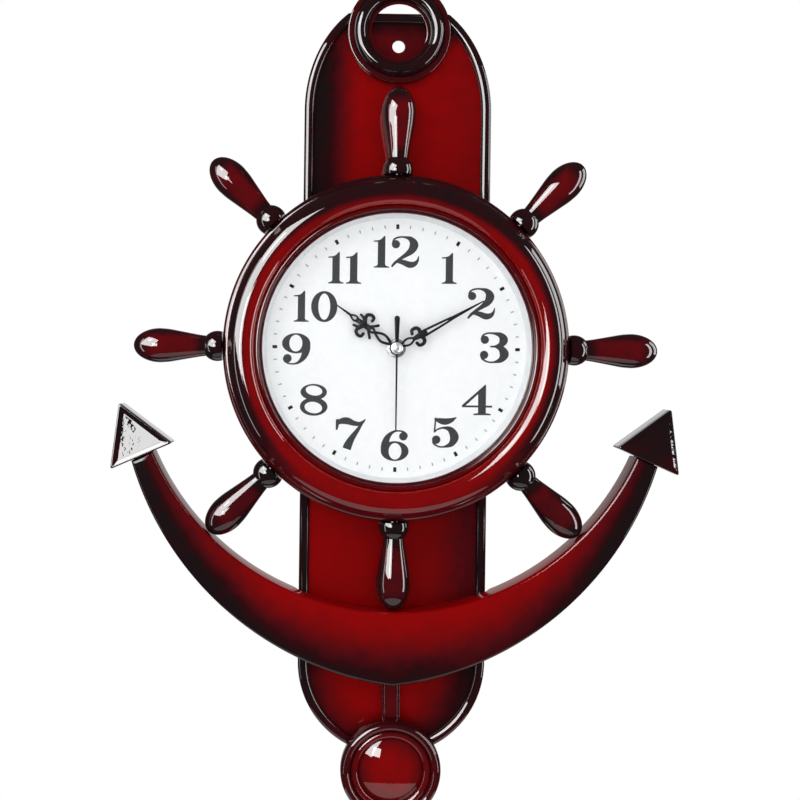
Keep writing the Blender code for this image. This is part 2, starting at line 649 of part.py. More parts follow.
def dial_parts():
    profile = [(0, LENS_FRONT), (LENS_RADIUS, LENS_FRONT), (LENS_RADIUS, LENS_REAR), (0, LENS_REAR)]
    finish(turned("lens", profile, DIAL_AXIS, closed=False), GLASS)
    rear, front = DIAL_FACE + GAP, LENS_REAR - GAP
    profile = [(LIP_RADIUS, front), (LENS_RADIUS, front), (LENS_RADIUS, rear)]
    profile += [(LIP_RADIUS - SPACER_SLOPE, rear)]
    finish(turned("dial_spacer", profile, DIAL_AXIS), WHITE_PLASTIC)
    hole = BUSH_RADIUS + GAP
    profile = [(hole, DIAL_FACE), (DIAL_RADIUS, DIAL_FACE), (DIAL_RADIUS, DIAL_REAR), (hole, DIAL_REAR)]
    finish(turned("dial", profile, DIAL_AXIS), WHITE_CARD)


# Anchor arms and flukes


def outer_reach(angle, side, inset):
    """Distance from the dial's centre to the lower edge, on a ray below the horizontal."""
    ray = Vector(polar(1.0, -angle if side > 0 else angle - 180))
    centre = Vector((-side * KEEL_SHIFT, -KEEL_DROP))
    along = centre.dot(ray)
    return along + math.sqrt(along**2 - centre.length_squared + (ARMS_OUTER - inset) ** 2)


def arm_outline():
    inner = arc((0, 0), (ARMS_INNER, ARMS_INNER), -ARM_END_ANGLE, ARM_END_ANGLE - 180, 26)
    outer = []
    for side in (-1, 1):
        centre = (-side * KEEL_SHIFT, -KEEL_DROP)
        reach = outer_reach(ARM_END_ANGLE, side, 0)
        ray = polar(reach, -ARM_END_ANGLE if side > 0 else ARM_END_ANGLE - 180)
        end = math.degrees(math.atan2(ray[1] - centre[1], ray[0] - centre[0]))
        keel = math.degrees(math.atan2(-math.sqrt(ARMS_OUTER**2 - KEEL_SHIFT**2), side * KEEL_SHIFT))
        start, stop = (end, keel) if side < 0 else (keel, end)
        stretch = arc(centre, (ARMS_OUTER, ARMS_OUTER), start, stop, 13)
        outer += stretch if side < 0 else stretch[1:]
    return inner + outer


def arm_end(side):
    """Middle of an arm's end, and the directions out along the end and on past it."""
    angle = -ARM_END_ANGLE if side > 0 else ARM_END_ANGLE - 180
    along = Vector(polar(1.0, angle))
    middle = along * (ARMS_INNER + outer_reach(ARM_END_ANGLE, side, 0)) / 2
    past = Vector((-side * along.y, side * along.x))
    return middle, along, past


def end_block(name, side, half_width, start, stop, rear, front):
    """A block past the end of an arm, from one distance to another."""
    middle, along, past = arm_end(side)
    corners = [middle + along * a + past * b for a, b in
               ((-half_width, start), (half_width, start), (half_width, stop), (-half_width, stop))]
    return plate(name, [[tuple(corner) for corner in corners]], rear, front, DIAL_AXIS, CUTTERS)


def anchor_arms(rim):
    shoulder = ARMS_FRONT - ARM_BEVEL
    halfway = ARM_BEVEL * math.sqrt(0.5)
    rounding = [(0, shoulder), (ARM_BEVEL - halfway, shoulder + halfway), (ARM_BEVEL, ARMS_FRONT)]
    arms = moulding("anchor_arms", arm_outline(), SEAT, rounding, DIAL_AXIS, WALL)
    middle = (SEAT + ARMS_FRONT) / 2
    for side in (-1, 1):
        tongue = end_block(f"tongue_{side}", side, TONGUE_WIDTH / 2, -WALL / 2, TONGUE_LENGTH,
                           middle - TONGUE_DEPTH / 2, middle + TONGUE_DEPTH / 2)
        combine(arms, tongue, "UNION")
    row = -(ARMS_INNER + ARMS_OUTER) / 2
    column = HALF_WIDTH - RIM_WIDTH - 3 * BOSS_RADIUS
    places = [(-column, row), (column, row)]
    boss_top = ARMS_FRONT - WALL / 2
    bosses = cylinders("arm_bosses", places, BOSS_RADIUS, SEAT, boss_top, DIAL_AXIS, SMALL_ROUND // 2)
    combine(arms, bosses, "UNION")
    combine(arms, rim)
    keel = KEEL_DROP + math.sqrt(ARMS_OUTER**2 - KEEL_SHIFT**2)
    sway = math.tan(math.radians(SWING_ANGLE)) * (keel - PIVOT_DROP) + ROD_WIDTH / 2 + 4 * GAP
    low, high = (-sway, -keel - WALL, 0), (sway, -keel + 4 * WALL, ROD_FRONT + WALL)
    combine(arms, boxes("rod_notch", [(low, high)], DIAL_AXIS))
    return finish(arms, LACQUER)


def fluke(name, side):
    middle, along, past = arm_end(side)
    start = middle + past * GAP
    height = FLUKE_SIDE * math.sqrt(3) / 2
    corners = [start - along * FLUKE_SIDE / 2, start + along * FLUKE_SIDE / 2, start + past * height]
    front = ARMS_FRONT + FLUKE_PROUD
    steps = [(0, front - FLUKE_BEVEL), (FLUKE_BEVEL, front)]
    rear = front - FLUKE_DEPTH
    piece = moulding(name, [tuple(corner) for corner in corners], rear, steps, DIAL_AXIS, WALL)
    level = (SEAT + ARMS_FRONT) / 2
    pocket = end_block(f"pocket_{side}", side, TONGUE_WIDTH / 2 + GAP, -WALL, TONGUE_LENGTH + GAP,
                       level - TONGUE_DEPTH / 2 - GAP, level + TONGUE_DEPTH / 2 + GAP)
    combine(piece, pocket)
    return finish(piece, DARK_LACQUER)


# Hands


def stroke(name, knots, start_width, end_width, rear, parent, **placing):
    """A flat bar along a smooth path, with a blunt point at its far end, to be joined to a hand."""
    path = smooth_path(knots, BEND_COUNT if len(knots) > 2 else 1)
    left, right = [], []
    for i, point in enumerate(path):
        ahead = (path[min(i + 1, len(path) - 1)] - path[max(i - 1, 0)]).normalized()
        side = Vector((-ahead.y, ahead.x))
        half = (start_width + (end_width - start_width) * i / (len(path) - 1)) / 2
        left.append(tuple(point + side * half))
        right.append(tuple(point - side * half))
    tip = tuple(path[-1] + ahead * half)
    return plate(name, [left + [tip] + right[::-1]], rear, rear + HAND_THICKNESS, parent, CUTTERS, **placing)


def hand(name, bars, length, bore, rear, turn):
    """A hand that points up before it is turned, joined from its bars and its hub."""
    placing = {"rotation": (0, 0, -math.radians(turn))}
    front = rear + HAND_THICKNESS
    piece = cylinders(name, [(0, 0)], bore + HUB_WALL, rear, front, DIAL_AXIS, holder=PARTS, **placing)
    for number, (knots, start_width, end_width, mirrored) in enumerate(bars):
        for side in (1, -1) if mirrored else (1,):
            bent = [(side * x, share * length) for x, share in knots]
            bar_name = f"{name}_bar_{number}_{side}"
            bar = stroke(bar_name, bent, start_width, end_width, rear, DIAL_AXIS, **placing)
            combine(piece, bar, "UNION")
    combine(piece, cylinders(f"{name}_bore", [(0, 0)], bore, rear - GAP, front + GAP, DIAL_AXIS))
    return finish(piece, BLACK_METAL)


def hands():
    hand("hour_hand", HOUR_BARS, HOUR_LENGTH, HOUR_TUBE + GAP, HOUR_HAND_REAR, HOUR_TURN)
    hand("minute_hand", MINUTE_BARS, MINUTE_LENGTH, MINUTE_TUBE + GAP, MINUTE_HAND_REAR, MINUTE_TURN)
    hand("second_hand", SECOND_BARS, SECOND_LENGTH, SECOND_BORE, SECOND_HAND_REAR, SECOND_TURN)


def hub_cap():
    profile = [(0, CAP_REAR + CAP_HEIGHT), *arc((0, CAP_REAR), (CAP_RADIUS, CAP_HEIGHT), 90, 0, 4)[1:]]
    profile += [(SECOND_BORE, CAP_REAR), (SECOND_BORE, ARBOR_END + GAP), (0, ARBOR_END + GAP)]
    return finish(turned("hub_cap", profile, DIAL_AXIS, SMALL_ROUND, closed=False), CHROME)


# Quartz movement


def depth_in(distance):
    """Height of a level that lies this far behind the movement's front."""
    return MOVEMENT_FRONT - distance


def gear_outline(teeth, module, tip_direction):
    """Pointed teeth with running clearance; one tip lies in the given direction, in degrees."""
    pitch_radius = teeth * module / 2
    tip = pitch_radius + TOOTH_RISE * module
    root = pitch_radius - TOOTH_DEPTH * module
    return [polar(root if i % 2 else tip, tip_direction + 180 * i / teeth) for i in range(2 * teeth)]


def gear(name, teeth, module, tip_direction, level, thickness, holder=PARTS, at=(0, 0)):
    outline = gear_outline(teeth, module, tip_direction)
    top = depth_in(level)
    return plate(name, [outline], top - thickness, top, DIAL_AXIS, holder, location=(*at, 0))


def arbor(name, radius, level, end_level, at=(0, 0)):
    bottom, top = depth_in(end_level), depth_in(level)
    return cylinders(name, [(0, 0)], radius, bottom, top, DIAL_AXIS, ARBOR_ROUND, location=(*at, 0))


LAYER = WHEEL_THICKNESS + LAYER_GAP
HOUR_LEVEL = CASE_WALL + 2 * LAYER_GAP + WHEEL_THICKNESS  # behind the flange of the bush
MINUTE_LEVEL = HOUR_LEVEL + LAYER
CENTRE_LEVEL = MINUTE_LEVEL + LAYER
THIRD_LEVEL = CENTRE_LEVEL + LAYER
SECONDS_LEVEL = THIRD_LEVEL + LAYER
INTERMEDIATE_LEVEL = SECONDS_LEVEL + LAYER
PINION_PROUD = LAYER_GAP / 3  # pinions are this much wider than the wheel they drive, each side
PINION_THICKNESS = WHEEL_THICKNESS + 2 * PINION_PROUD
SETTING_AXIS = polar((CANNON_TEETH + MINUTE_WHEEL_TEETH) * SETTING_MODULE / 2, SETTING_DIRECTION)
THIRD_DISTANCE = (PINION_TEETH + CENTRE_TEETH) * CENTRE_MODULE / 2
THIRD_MODULE = 2 * THIRD_DISTANCE / (PINION_TEETH + THIRD_TEETH)
THIRD_AXIS = polar(THIRD_DISTANCE, THIRD_DIRECTION)
INTERMEDIATE_AXIS = polar((PINION_TEETH + SECONDS_TEETH) * SECONDS_MODULE / 2, INTERMEDIATE_DIRECTION)
ROTOR_REACH = polar((PINION_TEETH + INTERMEDIATE_TEETH) * ROTOR_MODULE / 2, ROTOR_DIRECTION)
ROTOR_AXIS = (INTERMEDIATE_AXIS[0] + ROTOR_REACH[0], INTERMEDIATE_AXIS[1] + ROTOR_REACH[1])
CELL_ROW = -MOVEMENT_SIZE / 2 + CASE_WALL + GAP + CELL_RADIUS


def facing_gap(teeth, direction):
    """Direction of a tip such that a gap between teeth lies in the given direction."""
    return direction + 180 / teeth


def hour_wheel():
    toward = SETTING_DIRECTION
    wheel = gear("hour_wheel", HOUR_WHEEL_TEETH, SETTING_MODULE, facing_gap(HOUR_WHEEL_TEETH, toward),
                 HOUR_LEVEL, WHEEL_THICKNESS)
    top = HOUR_HAND_REAR + HAND_THICKNESS
    low = depth_in(HOUR_LEVEL + WHEEL_THICKNESS)
    combine(wheel, cylinders("hour_tube", [(0, 0)], HOUR_TUBE, low + GAP, top, DIAL_AXIS), "UNION")
    combine(wheel, cylinders("hour_bore", [(0, 0)], MINUTE_BORE, low - GAP, top + GAP, DIAL_AXIS))
    return finish(wheel, PALE_PLASTIC)


def centre_wheel():
    """The wheel that the train drives; it grips the minute tube, and slips on it when the time is set."""
    wheel = gear("centre_wheel", CENTRE_TEETH, CENTRE_MODULE, facing_gap(CENTRE_TEETH, THIRD_DIRECTION),
                 CENTRE_LEVEL, WHEEL_THICKNESS)
    top = depth_in(CENTRE_LEVEL)
    bore = cylinders("centre_bore", [(0, 0)], MINUTE_BORE, top - 2 * WHEEL_THICKNESS, top + GAP, DIAL_AXIS)
    combine(wheel, bore)
    return finish(wheel, PALE_PLASTIC)


def cannon_pinion():
    """The pinion on the tube that carries the minute hand."""
    pinion = gear("cannon_pinion", CANNON_TEETH, SETTING_MODULE, SETTING_DIRECTION,
                  MINUTE_LEVEL - PINION_PROUD, PINION_THICKNESS)
    top = MINUTE_HAND_REAR + HAND_THICKNESS
    low = depth_in(CENTRE_LEVEL + WHEEL_THICKNESS)
    combine(pinion, cylinders("minute_tube", [(0, 0)], MINUTE_TUBE, low, top, DIAL_AXIS), "UNION")
    combine(pinion, cylinders("minute_bore", [(0, 0)], SECOND_BORE, low - GAP, top + GAP, DIAL_AXIS))
    return finish(pinion, PALE_PLASTIC)


def seconds_wheel():
    tip = facing_gap(SECONDS_TEETH, INTERMEDIATE_DIRECTION)
    wheel = gear("seconds_wheel", SECONDS_TEETH, SECONDS_MODULE, tip, SECONDS_LEVEL, WHEEL_THICKNESS)
    pinion = gear("seconds_pinion", PINION_TEETH, THIRD_MODULE, THIRD_DIRECTION,
                  THIRD_LEVEL - PINION_PROUD, PINION_THICKNESS, CUTTERS)
    low = depth_in(SECONDS_LEVEL + WHEEL_THICKNESS + PINION_PROUD)
    shaft = cylinders("seconds_arbor", [(0, 0)], ARBOR_RADIUS, low, ARBOR_END, DIAL_AXIS, ARBOR_ROUND)
    combine(wheel, shaft, "UNION")
    combine(wheel, pinion, "UNION")
    return finish(wheel, PALE_PLASTIC)


def third_wheel():
    back = THIRD_DIRECTION + 180
    wheel = gear("third_wheel", THIRD_TEETH, THIRD_MODULE, facing_gap(THIRD_TEETH, back),
                 THIRD_LEVEL, WHEEL_THICKNESS, at=THIRD_AXIS)
    pinion = gear("third_pinion", PINION_TEETH, CENTRE_MODULE, back,
                  CENTRE_LEVEL - PINION_PROUD, PINION_THICKNESS, CUTTERS, THIRD_AXIS)
    end = THIRD_LEVEL + WHEEL_THICKNESS + LAYER_GAP
    combine(wheel, arbor("third_arbor", ARBOR_RADIUS, CENTRE_LEVEL - LAYER_GAP, end, THIRD_AXIS), "UNION")
    combine(wheel, pinion, "UNION")
    return finish(wheel, PALE_PLASTIC)


def intermediate_wheel():
    wheel = gear("intermediate_wheel", INTERMEDIATE_TEETH, ROTOR_MODULE,
                 facing_gap(INTERMEDIATE_TEETH, ROTOR_DIRECTION), INTERMEDIATE_LEVEL, WHEEL_THICKNESS,
                 at=INTERMEDIATE_AXIS)
    pinion = gear("intermediate_pinion", PINION_TEETH, SECONDS_MODULE, INTERMEDIATE_DIRECTION + 180,
                  SECONDS_LEVEL - PINION_PROUD, PINION_THICKNESS, CUTTERS, INTERMEDIATE_AXIS)
    end = INTERMEDIATE_LEVEL + WHEEL_THICKNESS + LAYER_GAP
    start = SECONDS_LEVEL - PINION_PROUD - GAP
    combine(wheel, arbor("intermediate_arbor", ARBOR_RADIUS, start, end, INTERMEDIATE_AXIS), "UNION")
    combine(wheel, pinion, "UNION")
    return finish(wheel, PALE_PLASTIC)


def rotor():
    level = INTERMEDIATE_LEVEL - PINION_PROUD
    back = ROTOR_DIRECTION + 180
    piece = gear("rotor", PINION_TEETH, ROTOR_MODULE, back, level, PINION_THICKNESS, at=ROTOR_AXIS)
    start = THIRD_LEVEL
    stop = start + 2 * WHEEL_THICKNESS
    combine(piece, arbor("rotor_magnet", MAGNET_RADIUS, start, stop, ROTOR_AXIS), "UNION")
    end = level + PINION_THICKNESS + LAYER_GAP
    combine(piece, arbor("rotor_arbor", ARBOR_RADIUS, start - LAYER_GAP, end, ROTOR_AXIS), "UNION")
    return finish(piece, MAGNET_GREY)


def setting_parts():
    """The minute wheel, and the knob at the back whose arbor carries it."""
    back = SETTING_DIRECTION + 180
    wheel = gear("minute_wheel", MINUTE_WHEEL_TEETH, SETTING_MODULE, facing_gap(MINUTE_WHEEL_TEETH, back),
                 MINUTE_LEVEL, WHEEL_THICKNESS, at=SETTING_AXIS)
    pinion = gear("minute_pinion", PINION_TEETH, SETTING_MODULE, back, HOUR_LEVEL - PINION_PROUD,
                  MINUTE_LEVEL - HOUR_LEVEL + PINION_PROUD + GAP, CUTTERS, SETTING_AXIS)
    combine(wheel, pinion, "UNION")
    front = HOUR_LEVEL - PINION_PROUD
    bore = arbor("minute_wheel_bore", KNOB_SHAFT + GAP, front - GAP, MINUTE_LEVEL + LAYER, SETTING_AXIS)
    combine(wheel, bore)
    finish(wheel, PALE_PLASTIC)
    knob_rear = MOVEMENT_THICKNESS + GAP + KNOB_HEIGHT
    low, high = depth_in(knob_rear), depth_in(knob_rear - KNOB_HEIGHT)
    placing = {"holder": PARTS, "location": (*SETTING_AXIS, 0)}
    knob = cylinders("setting_knob", [(0, 0)], KNOB_RADIUS, low, high, DIAL_AXIS, **placing)
    combine(knob, arbor("knob_shaft", KNOB_SHAFT, front, knob_rear - GAP, SETTING_AXIS), "UNION")
    finish(knob, BLACK_PLASTIC)


def movement_parts():
    half = MOVEMENT_SIZE / 2
    outline = rounded_square((-half, -half), (half, half), CASE_ROUND)
    case = moulding("movement_case", outline, COVER_FRONT + GAP, [(0, MOVEMENT_FRONT)], DIAL_AXIS, CASE_WALL)
    combine(case, cylinders("bush_hole", [(0, 0)], BUSH_RADIUS + GAP, COVER_FRONT, DIAL_FACE, DIAL_AXIS))
    finish(case, BLACK_PLASTIC)
    flange_top = MOVEMENT_FRONT - CASE_WALL - GAP
    flange_rear = flange_top - WHEEL_THICKNESS
    flange = BUSH_RADIUS + BUSH_WALL
    profile = [(BUSH_BORE, BUSH_FRONT), (BUSH_RADIUS, BUSH_FRONT), (BUSH_RADIUS, flange_top)]
    profile += [(flange, flange_top), (flange, flange_rear), (BUSH_BORE, flange_rear)]
    finish(turned("threaded_bush", profile, DIAL_AXIS, SMALL_ROUND), BRASS)
    bore = BUSH_RADIUS + GAP
    hexagon = circle((0, 0), NUT_RADIUS, 6)
    finish(plate("fixing_nut", [hexagon, circle((0, 0), bore)], NUT_REAR, NUT_FRONT, DIAL_AXIS), BRASS)
    rear, front = MOVEMENT_FRONT + GAP, DIAL_REAR - GAP
    profile = [(bore, front), (flange + bore, front), (flange + bore, rear), (bore, rear)]
    finish(turned("dial_washer", profile, DIAL_AXIS, SMALL_ROUND), RUBBER)


def movement_cover():
    half = MOVEMENT_SIZE / 2
    outline = rounded_square((-half, -half), (half, half), CASE_ROUND)
    cover = plate("movement_cover", [outline], MOVEMENT_REAR, COVER_FRONT, DIAL_AXIS)
    combine(cover, arbor("knob_hole", KNOB_SHAFT + GAP, 0, 2 * MOVEMENT_THICKNESS, SETTING_AXIS))
    reach = half - CASE_WALL - GAP
    low = (-reach, CELL_ROW - CELL_RADIUS, MOVEMENT_REAR - GAP)
    high = (reach, CELL_ROW + CELL_RADIUS, COVER_FRONT + GAP)
    combine(cover, boxes("cell_window", [(low, high)], DIAL_AXIS))
    return finish(cover, BLACK_PLASTIC)


def electric_parts():
    level = depth_in(THIRD_LEVEL + WHEEL_THICKNESS + GAP) - STATOR_THICKNESS
    x, y = ROTOR_AXIS
    long, tall = COIL_LENGTH / 2 + MAGNET_RADIUS, MAGNET_RADIUS + 2 * WALL
    core = y + tall - COIL_RADIUS / 2
    outline = [(x - long, y - tall / 2), (x + long, y - tall / 2), (x + long, core + COIL_RADIUS)]
    outline += [(x + long - MAGNET_RADIUS, core + COIL_RADIUS), (x + long - MAGNET_RADIUS, y + tall / 2)]
    outline += [(x - long + MAGNET_RADIUS, y + tall / 2), (x - long + MAGNET_RADIUS, core + COIL_RADIUS)]
    outline += [(x - long, core + COIL_RADIUS)]
    hole = MAGNET_RADIUS + 2 * GAP
    stator = plate("stator", [outline, circle((x, y), hole)], level, level + STATOR_THICKNESS, DIAL_AXIS)
    finish(stator, STEEL)
    wire, flange = WIRE_SHARE * COIL_RADIUS, COIL_LENGTH / 10
    half = COIL_LENGTH / 2 - MAGNET_RADIUS / 2
    profile = [(0, half), (COIL_RADIUS, half), (COIL_RADIUS, half - flange), (wire, half - flange)]
    profile += [(wire, flange - half), (COIL_RADIUS, flange - half), (COIL_RADIUS, -half), (0, -half)]
    centre = (x, core + COIL_RADIUS / 2 + GAP, level + STATOR_THICKNESS / 2)
    placing = {"location": centre, "rotation": (0, math.pi / 2, 0)}
    finish(turned("coil", profile, DIAL_AXIS, SMALL_ROUND, closed=False, **placing), COPPER)


def cell(name, row, height, parent):
    """A round cell lying along x, its contact nub to the right."""
    half = CELL_LENGTH / 2
    nub = CELL_RADIUS / 3
    profile = [(0, half + CELL_NUB), (nub, half + CELL_NUB), (nub, half), (CELL_RADIUS, half)]
    profile += [(CELL_RADIUS, -half), (0, -half)]
    placing = {"location": (0, row, height), "rotation": (0, math.pi / 2, 0)}
    return finish(turned(name, profile, parent, SMALL_ROUND, closed=False, **placing), CELL_SLEEVE)


def contacts(prefix, row, height, parent):
    """The two spring plates that press on the ends of a cell."""
    half = CELL_LENGTH / 2
    tall = CELL_RADIUS / 2
    spans = {
        "plus": (half + CELL_NUB + GAP, half + CELL_NUB + GAP + CONTACT_THICKNESS),
        "minus": (-half - GAP - CONTACT_THICKNESS, -half - GAP),
    }
    for end, (near, far) in spans.items():
        span = ((near, row - tall, height - tall), (far, row + tall, height + tall))
        finish(boxes(f"{prefix}_{end}", [span], parent, PARTS), STEEL)


def circuit_board():
    """The board in the upper left corner of the movement, its own corner cut to clear the case's."""
    half = MOVEMENT_SIZE / 2 - CASE_WALL - GAP
    low = (-half, THIRD_AXIS[1] + THIRD_DISTANCE)
    high = (ROTOR_AXIS[0] - COIL_LENGTH / 2 - 2 * MAGNET_RADIUS, half)
    outline = [low, (high[0], low[1]), high, (CASE_ROUND - half, half), (-half, half - CASE_ROUND)]
    top = depth_in(THIRD_LEVEL)
    return finish(plate("circuit_board", [outline], top - BOARD_THICKNESS, top, DIAL_AXIS), BOARD_GREEN)


# Pendulum and the unit that swings it

PENDULUM_AXIS = frame("pendulum_axis", DIAL_AXIS, (0, -PIVOT_DROP, 0))


def swing_unit():
    half = UNIT_WIDTH / 2
    low, high = (-half, -UNIT_BELOW_PIVOT), (half, UNIT_ABOVE_PIVOT)
    outline = rounded_square(low, high, CASE_ROUND)
    lid_front = UNIT_REAR + CASE_WALL
    case = moulding("swing_case", outline, lid_front + GAP, [(0, UNIT_FRONT)], PENDULUM_AXIS, CASE_WALL)
    boss = PIVOT_RADIUS + CASE_WALL
    inside = UNIT_FRONT - CASE_WALL / 2
    combine(case, cylinders("pivot_boss", [(0, 0)], boss, inside, HANGER_REAR - GAP, PENDULUM_AXIS), "UNION")
    combine(case, cylinders("pivot_hole", [(0, 0)], PIVOT_RADIUS + GAP, lid_front, RIM_CREST, PENDULUM_AXIS))
    finish(case, BLACK_PLASTIC)
    cell_row = UNIT_ABOVE_PIVOT - CASE_WALL - GAP - CELL_RADIUS
    reach = half - CASE_WALL - GAP
    cover = plate("swing_cover", [outline], UNIT_REAR, lid_front, PENDULUM_AXIS)
    low = (-reach, cell_row - CELL_RADIUS, UNIT_REAR - GAP)
    high = (reach, cell_row + CELL_RADIUS, lid_front + GAP)
    combine(cover, boxes("swing_cell_window", [(low, high)], PENDULUM_AXIS))
    finish(cover, BLACK_PLASTIC)
    cell_height = UNIT_FRONT - CASE_WALL - GAP - CELL_RADIUS
    cell("swing_cell", cell_row, cell_height, PENDULUM_AXIS)
    contacts("swing_contact", cell_row, cell_height, PENDULUM_AXIS)
    front = UNIT_FRONT - CASE_WALL - GAP
    rear = front - SWING_COIL_RADIUS
    bore = PIVOT_RADIUS
    profile = [(bore, front), (SWING_COIL_RADIUS, front), (SWING_COIL_RADIUS, rear), (bore, rear)]
    place_at = {"location": (0, -SWING_MAGNET_DROP, 0)}
    finish(turned("swing_coil", profile, PENDULUM_AXIS, SMALL_ROUND, **place_at), COPPER)
    corner = CASE_WALL + CASE_ROUND / 2
    board_low = (SWING_COIL_RADIUS + WALL, corner - UNIT_BELOW_PIVOT, front - BOARD_THICKNESS)
    board_high = (half - corner, SWING_COIL_RADIUS - SWING_MAGNET_DROP, front)
    finish(boxes("swing_board", [(board_low, board_high)], PENDULUM_AXIS, PARTS), BOARD_GREEN)


def pivot_pin():
    rear = UNIT_FRONT - CASE_WALL
    head = HANGER_FRONT + GAP
    tip = head + CASE_WALL
    profile = [(0, tip), (PIVOT_HEAD, tip), (PIVOT_HEAD, head), (PIVOT_RADIUS, head)]
    profile += [(PIVOT_RADIUS, rear), (0, rear)]
    return finish(turned("pivot_pin", profile, PENDULUM_AXIS, SMALL_ROUND, closed=False), STEEL)


def pendulum_hanger():
    half = HANGER_WIDTH / 2
    bore = PIVOT_RADIUS + GAP
    outline = arc((0, 0), (half, half), 0, 180, 10) + [(-half, -HANGER_LENGTH), (half, -HANGER_LENGTH)]
    loops = [outline, circle((0, 0), bore)]
    finish(plate("pendulum_hanger", loops, HANGER_REAR, HANGER_FRONT, PENDULUM_AXIS), BLACK_PLASTIC)
    top, rear = HANGER_REAR - GAP, UNIT_FRONT + 2 * GAP
    profile = [(0, top), (SWING_MAGNET_RADIUS, top), (SWING_MAGNET_RADIUS, rear), (0, rear)]
    place_at = {"location": (0, -SWING_MAGNET_DROP, 0)}
    magnet = turned("pendulum_magnet", profile, PENDULUM_AXIS, SMALL_ROUND, closed=False, **place_at)
    finish(magnet, MAGNET_GREY)


def pendulum_rod():
    half = ROD_WIDTH / 2
    top = ROD_OVERLAP - HANGER_LENGTH
    bottom = -PENDULUM_LENGTH - BOB_CAP_RADIUS / 2
    rod = boxes("pendulum_rod", [((-half, bottom, ROD_REAR), (half, top, ROD_FRONT))], PENDULUM_AXIS, PARTS)
    groove = half - ROD_EDGE
    low = (-groove, bottom - GAP, ROD_FRONT - ROD_THICKNESS / 3)
    combine(rod, boxes("rod_groove", [(low, (groove, top + GAP, ROD_FRONT + GAP))], PENDULUM_AXIS))
    return finish(rod, LACQUER)


def bob_parts():
    """The bob: a stepped ring, the plate across its back and the domed disc in its middle."""
    place_at = {"location": (0, -PENDULUM_LENGTH, 0)}
    seat = BOB_CAP_RADIUS + GAP
    bead = seat + BOB_BEAD
    inner_roll = bead + BOB_BEAD
    half = (BOB_RADIUS - inner_roll) / 2
    side = BOB_REAR + BOB_DEPTH / 3
    step = BOB_REAR + BOB_DEPTH / 2
    profile = [(BOB_RADIUS, BOB_REAR)]
    profile += arc((BOB_RADIUS - half, side), (half, BOB_REAR + BOB_DEPTH - side), 0, 90, 3)
    profile += arc((inner_roll + half, step), (half, BOB_REAR + BOB_DEPTH - step), 90, 180, 3)[1:]
    profile += arc((bead, step), (BOB_BEAD, BOB_DEPTH / 4), 0, 180, 4)
    plate_front = BOB_REAR + WALL
    inside = BOB_RADIUS - WALL
    profile += [(seat, plate_front + GAP), (inside, plate_front + GAP), (inside, BOB_REAR)]
    finish(turned("bob_ring", profile, PENDULUM_AXIS, BOB_ROUND, **place_at), DARK_LACQUER)
    edge = inside - GAP
    profile = [(0, plate_front), (edge, plate_front), (edge, BOB_REAR), (0, BOB_REAR)]
    finish(turned("bob_back", profile, PENDULUM_AXIS, BOB_ROUND, closed=False, **place_at), BLACK_PLASTIC)
    rim = step + BOB_CAP_RISE / 4
    profile = [(0, rim + BOB_CAP_RISE), *arc((0, rim), (BOB_CAP_RADIUS, BOB_CAP_RISE), 90, 0, 4)[1:]]
    profile += [(BOB_CAP_RADIUS, plate_front + GAP), (0, plate_front + GAP)]
    finish(turned("bob_cap", profile, PENDULUM_AXIS, BOB_ROUND, closed=False, **place_at), LACQUER)


RIM_SPACE = rim_clearance()
panel_frame()
back_panel()
panel_fittings()
anchor_ring(RIM_SPACE)
wheel_bezel(RIM_SPACE)
for handle_number in range(HANDLE_COUNT):
    wheel_handle(handle_number)
dial_parts()
anchor_arms(RIM_SPACE)
fluke("fluke_left", -1)
fluke("fluke_right", 1)

hands()
hub_cap()
hour_wheel()
cannon_pinion()
centre_wheel()
seconds_wheel()
third_wheel()
intermediate_wheel()
rotor()
setting_parts()
movement_parts()
movement_cover()
electric_parts()
circuit_board()
CELL_HEIGHT = MOVEMENT_FRONT - CASE_WALL - GAP - CELL_RADIUS
cell("clock_cell", CELL_ROW, CELL_HEIGHT, DIAL_AXIS)
contacts("clock_contact", CELL_ROW, CELL_HEIGHT, DIAL_AXIS)

swing_unit()
pivot_pin()
pendulum_hanger()
pendulum_rod()
bob_parts()
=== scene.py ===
"""Anchor clock: the visual model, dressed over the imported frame."""

import math
from functools import partial

import bmesh
import bpy
from mathutils import Matrix, Vector

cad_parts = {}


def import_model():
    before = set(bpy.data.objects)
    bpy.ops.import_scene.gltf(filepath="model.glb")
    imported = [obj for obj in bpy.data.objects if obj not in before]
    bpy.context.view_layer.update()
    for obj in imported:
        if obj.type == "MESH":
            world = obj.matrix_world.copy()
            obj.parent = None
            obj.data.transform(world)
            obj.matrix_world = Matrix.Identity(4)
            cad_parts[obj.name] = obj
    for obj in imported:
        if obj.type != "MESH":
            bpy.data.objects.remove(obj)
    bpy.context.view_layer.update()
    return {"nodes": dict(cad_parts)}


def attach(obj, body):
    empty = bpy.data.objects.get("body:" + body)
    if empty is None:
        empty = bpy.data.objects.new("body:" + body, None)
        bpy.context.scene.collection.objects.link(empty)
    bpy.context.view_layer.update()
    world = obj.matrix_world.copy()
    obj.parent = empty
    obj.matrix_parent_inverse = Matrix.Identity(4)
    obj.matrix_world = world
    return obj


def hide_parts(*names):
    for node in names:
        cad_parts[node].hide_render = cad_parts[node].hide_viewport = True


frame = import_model()
nodes = frame["nodes"]
scene = bpy.context.scene

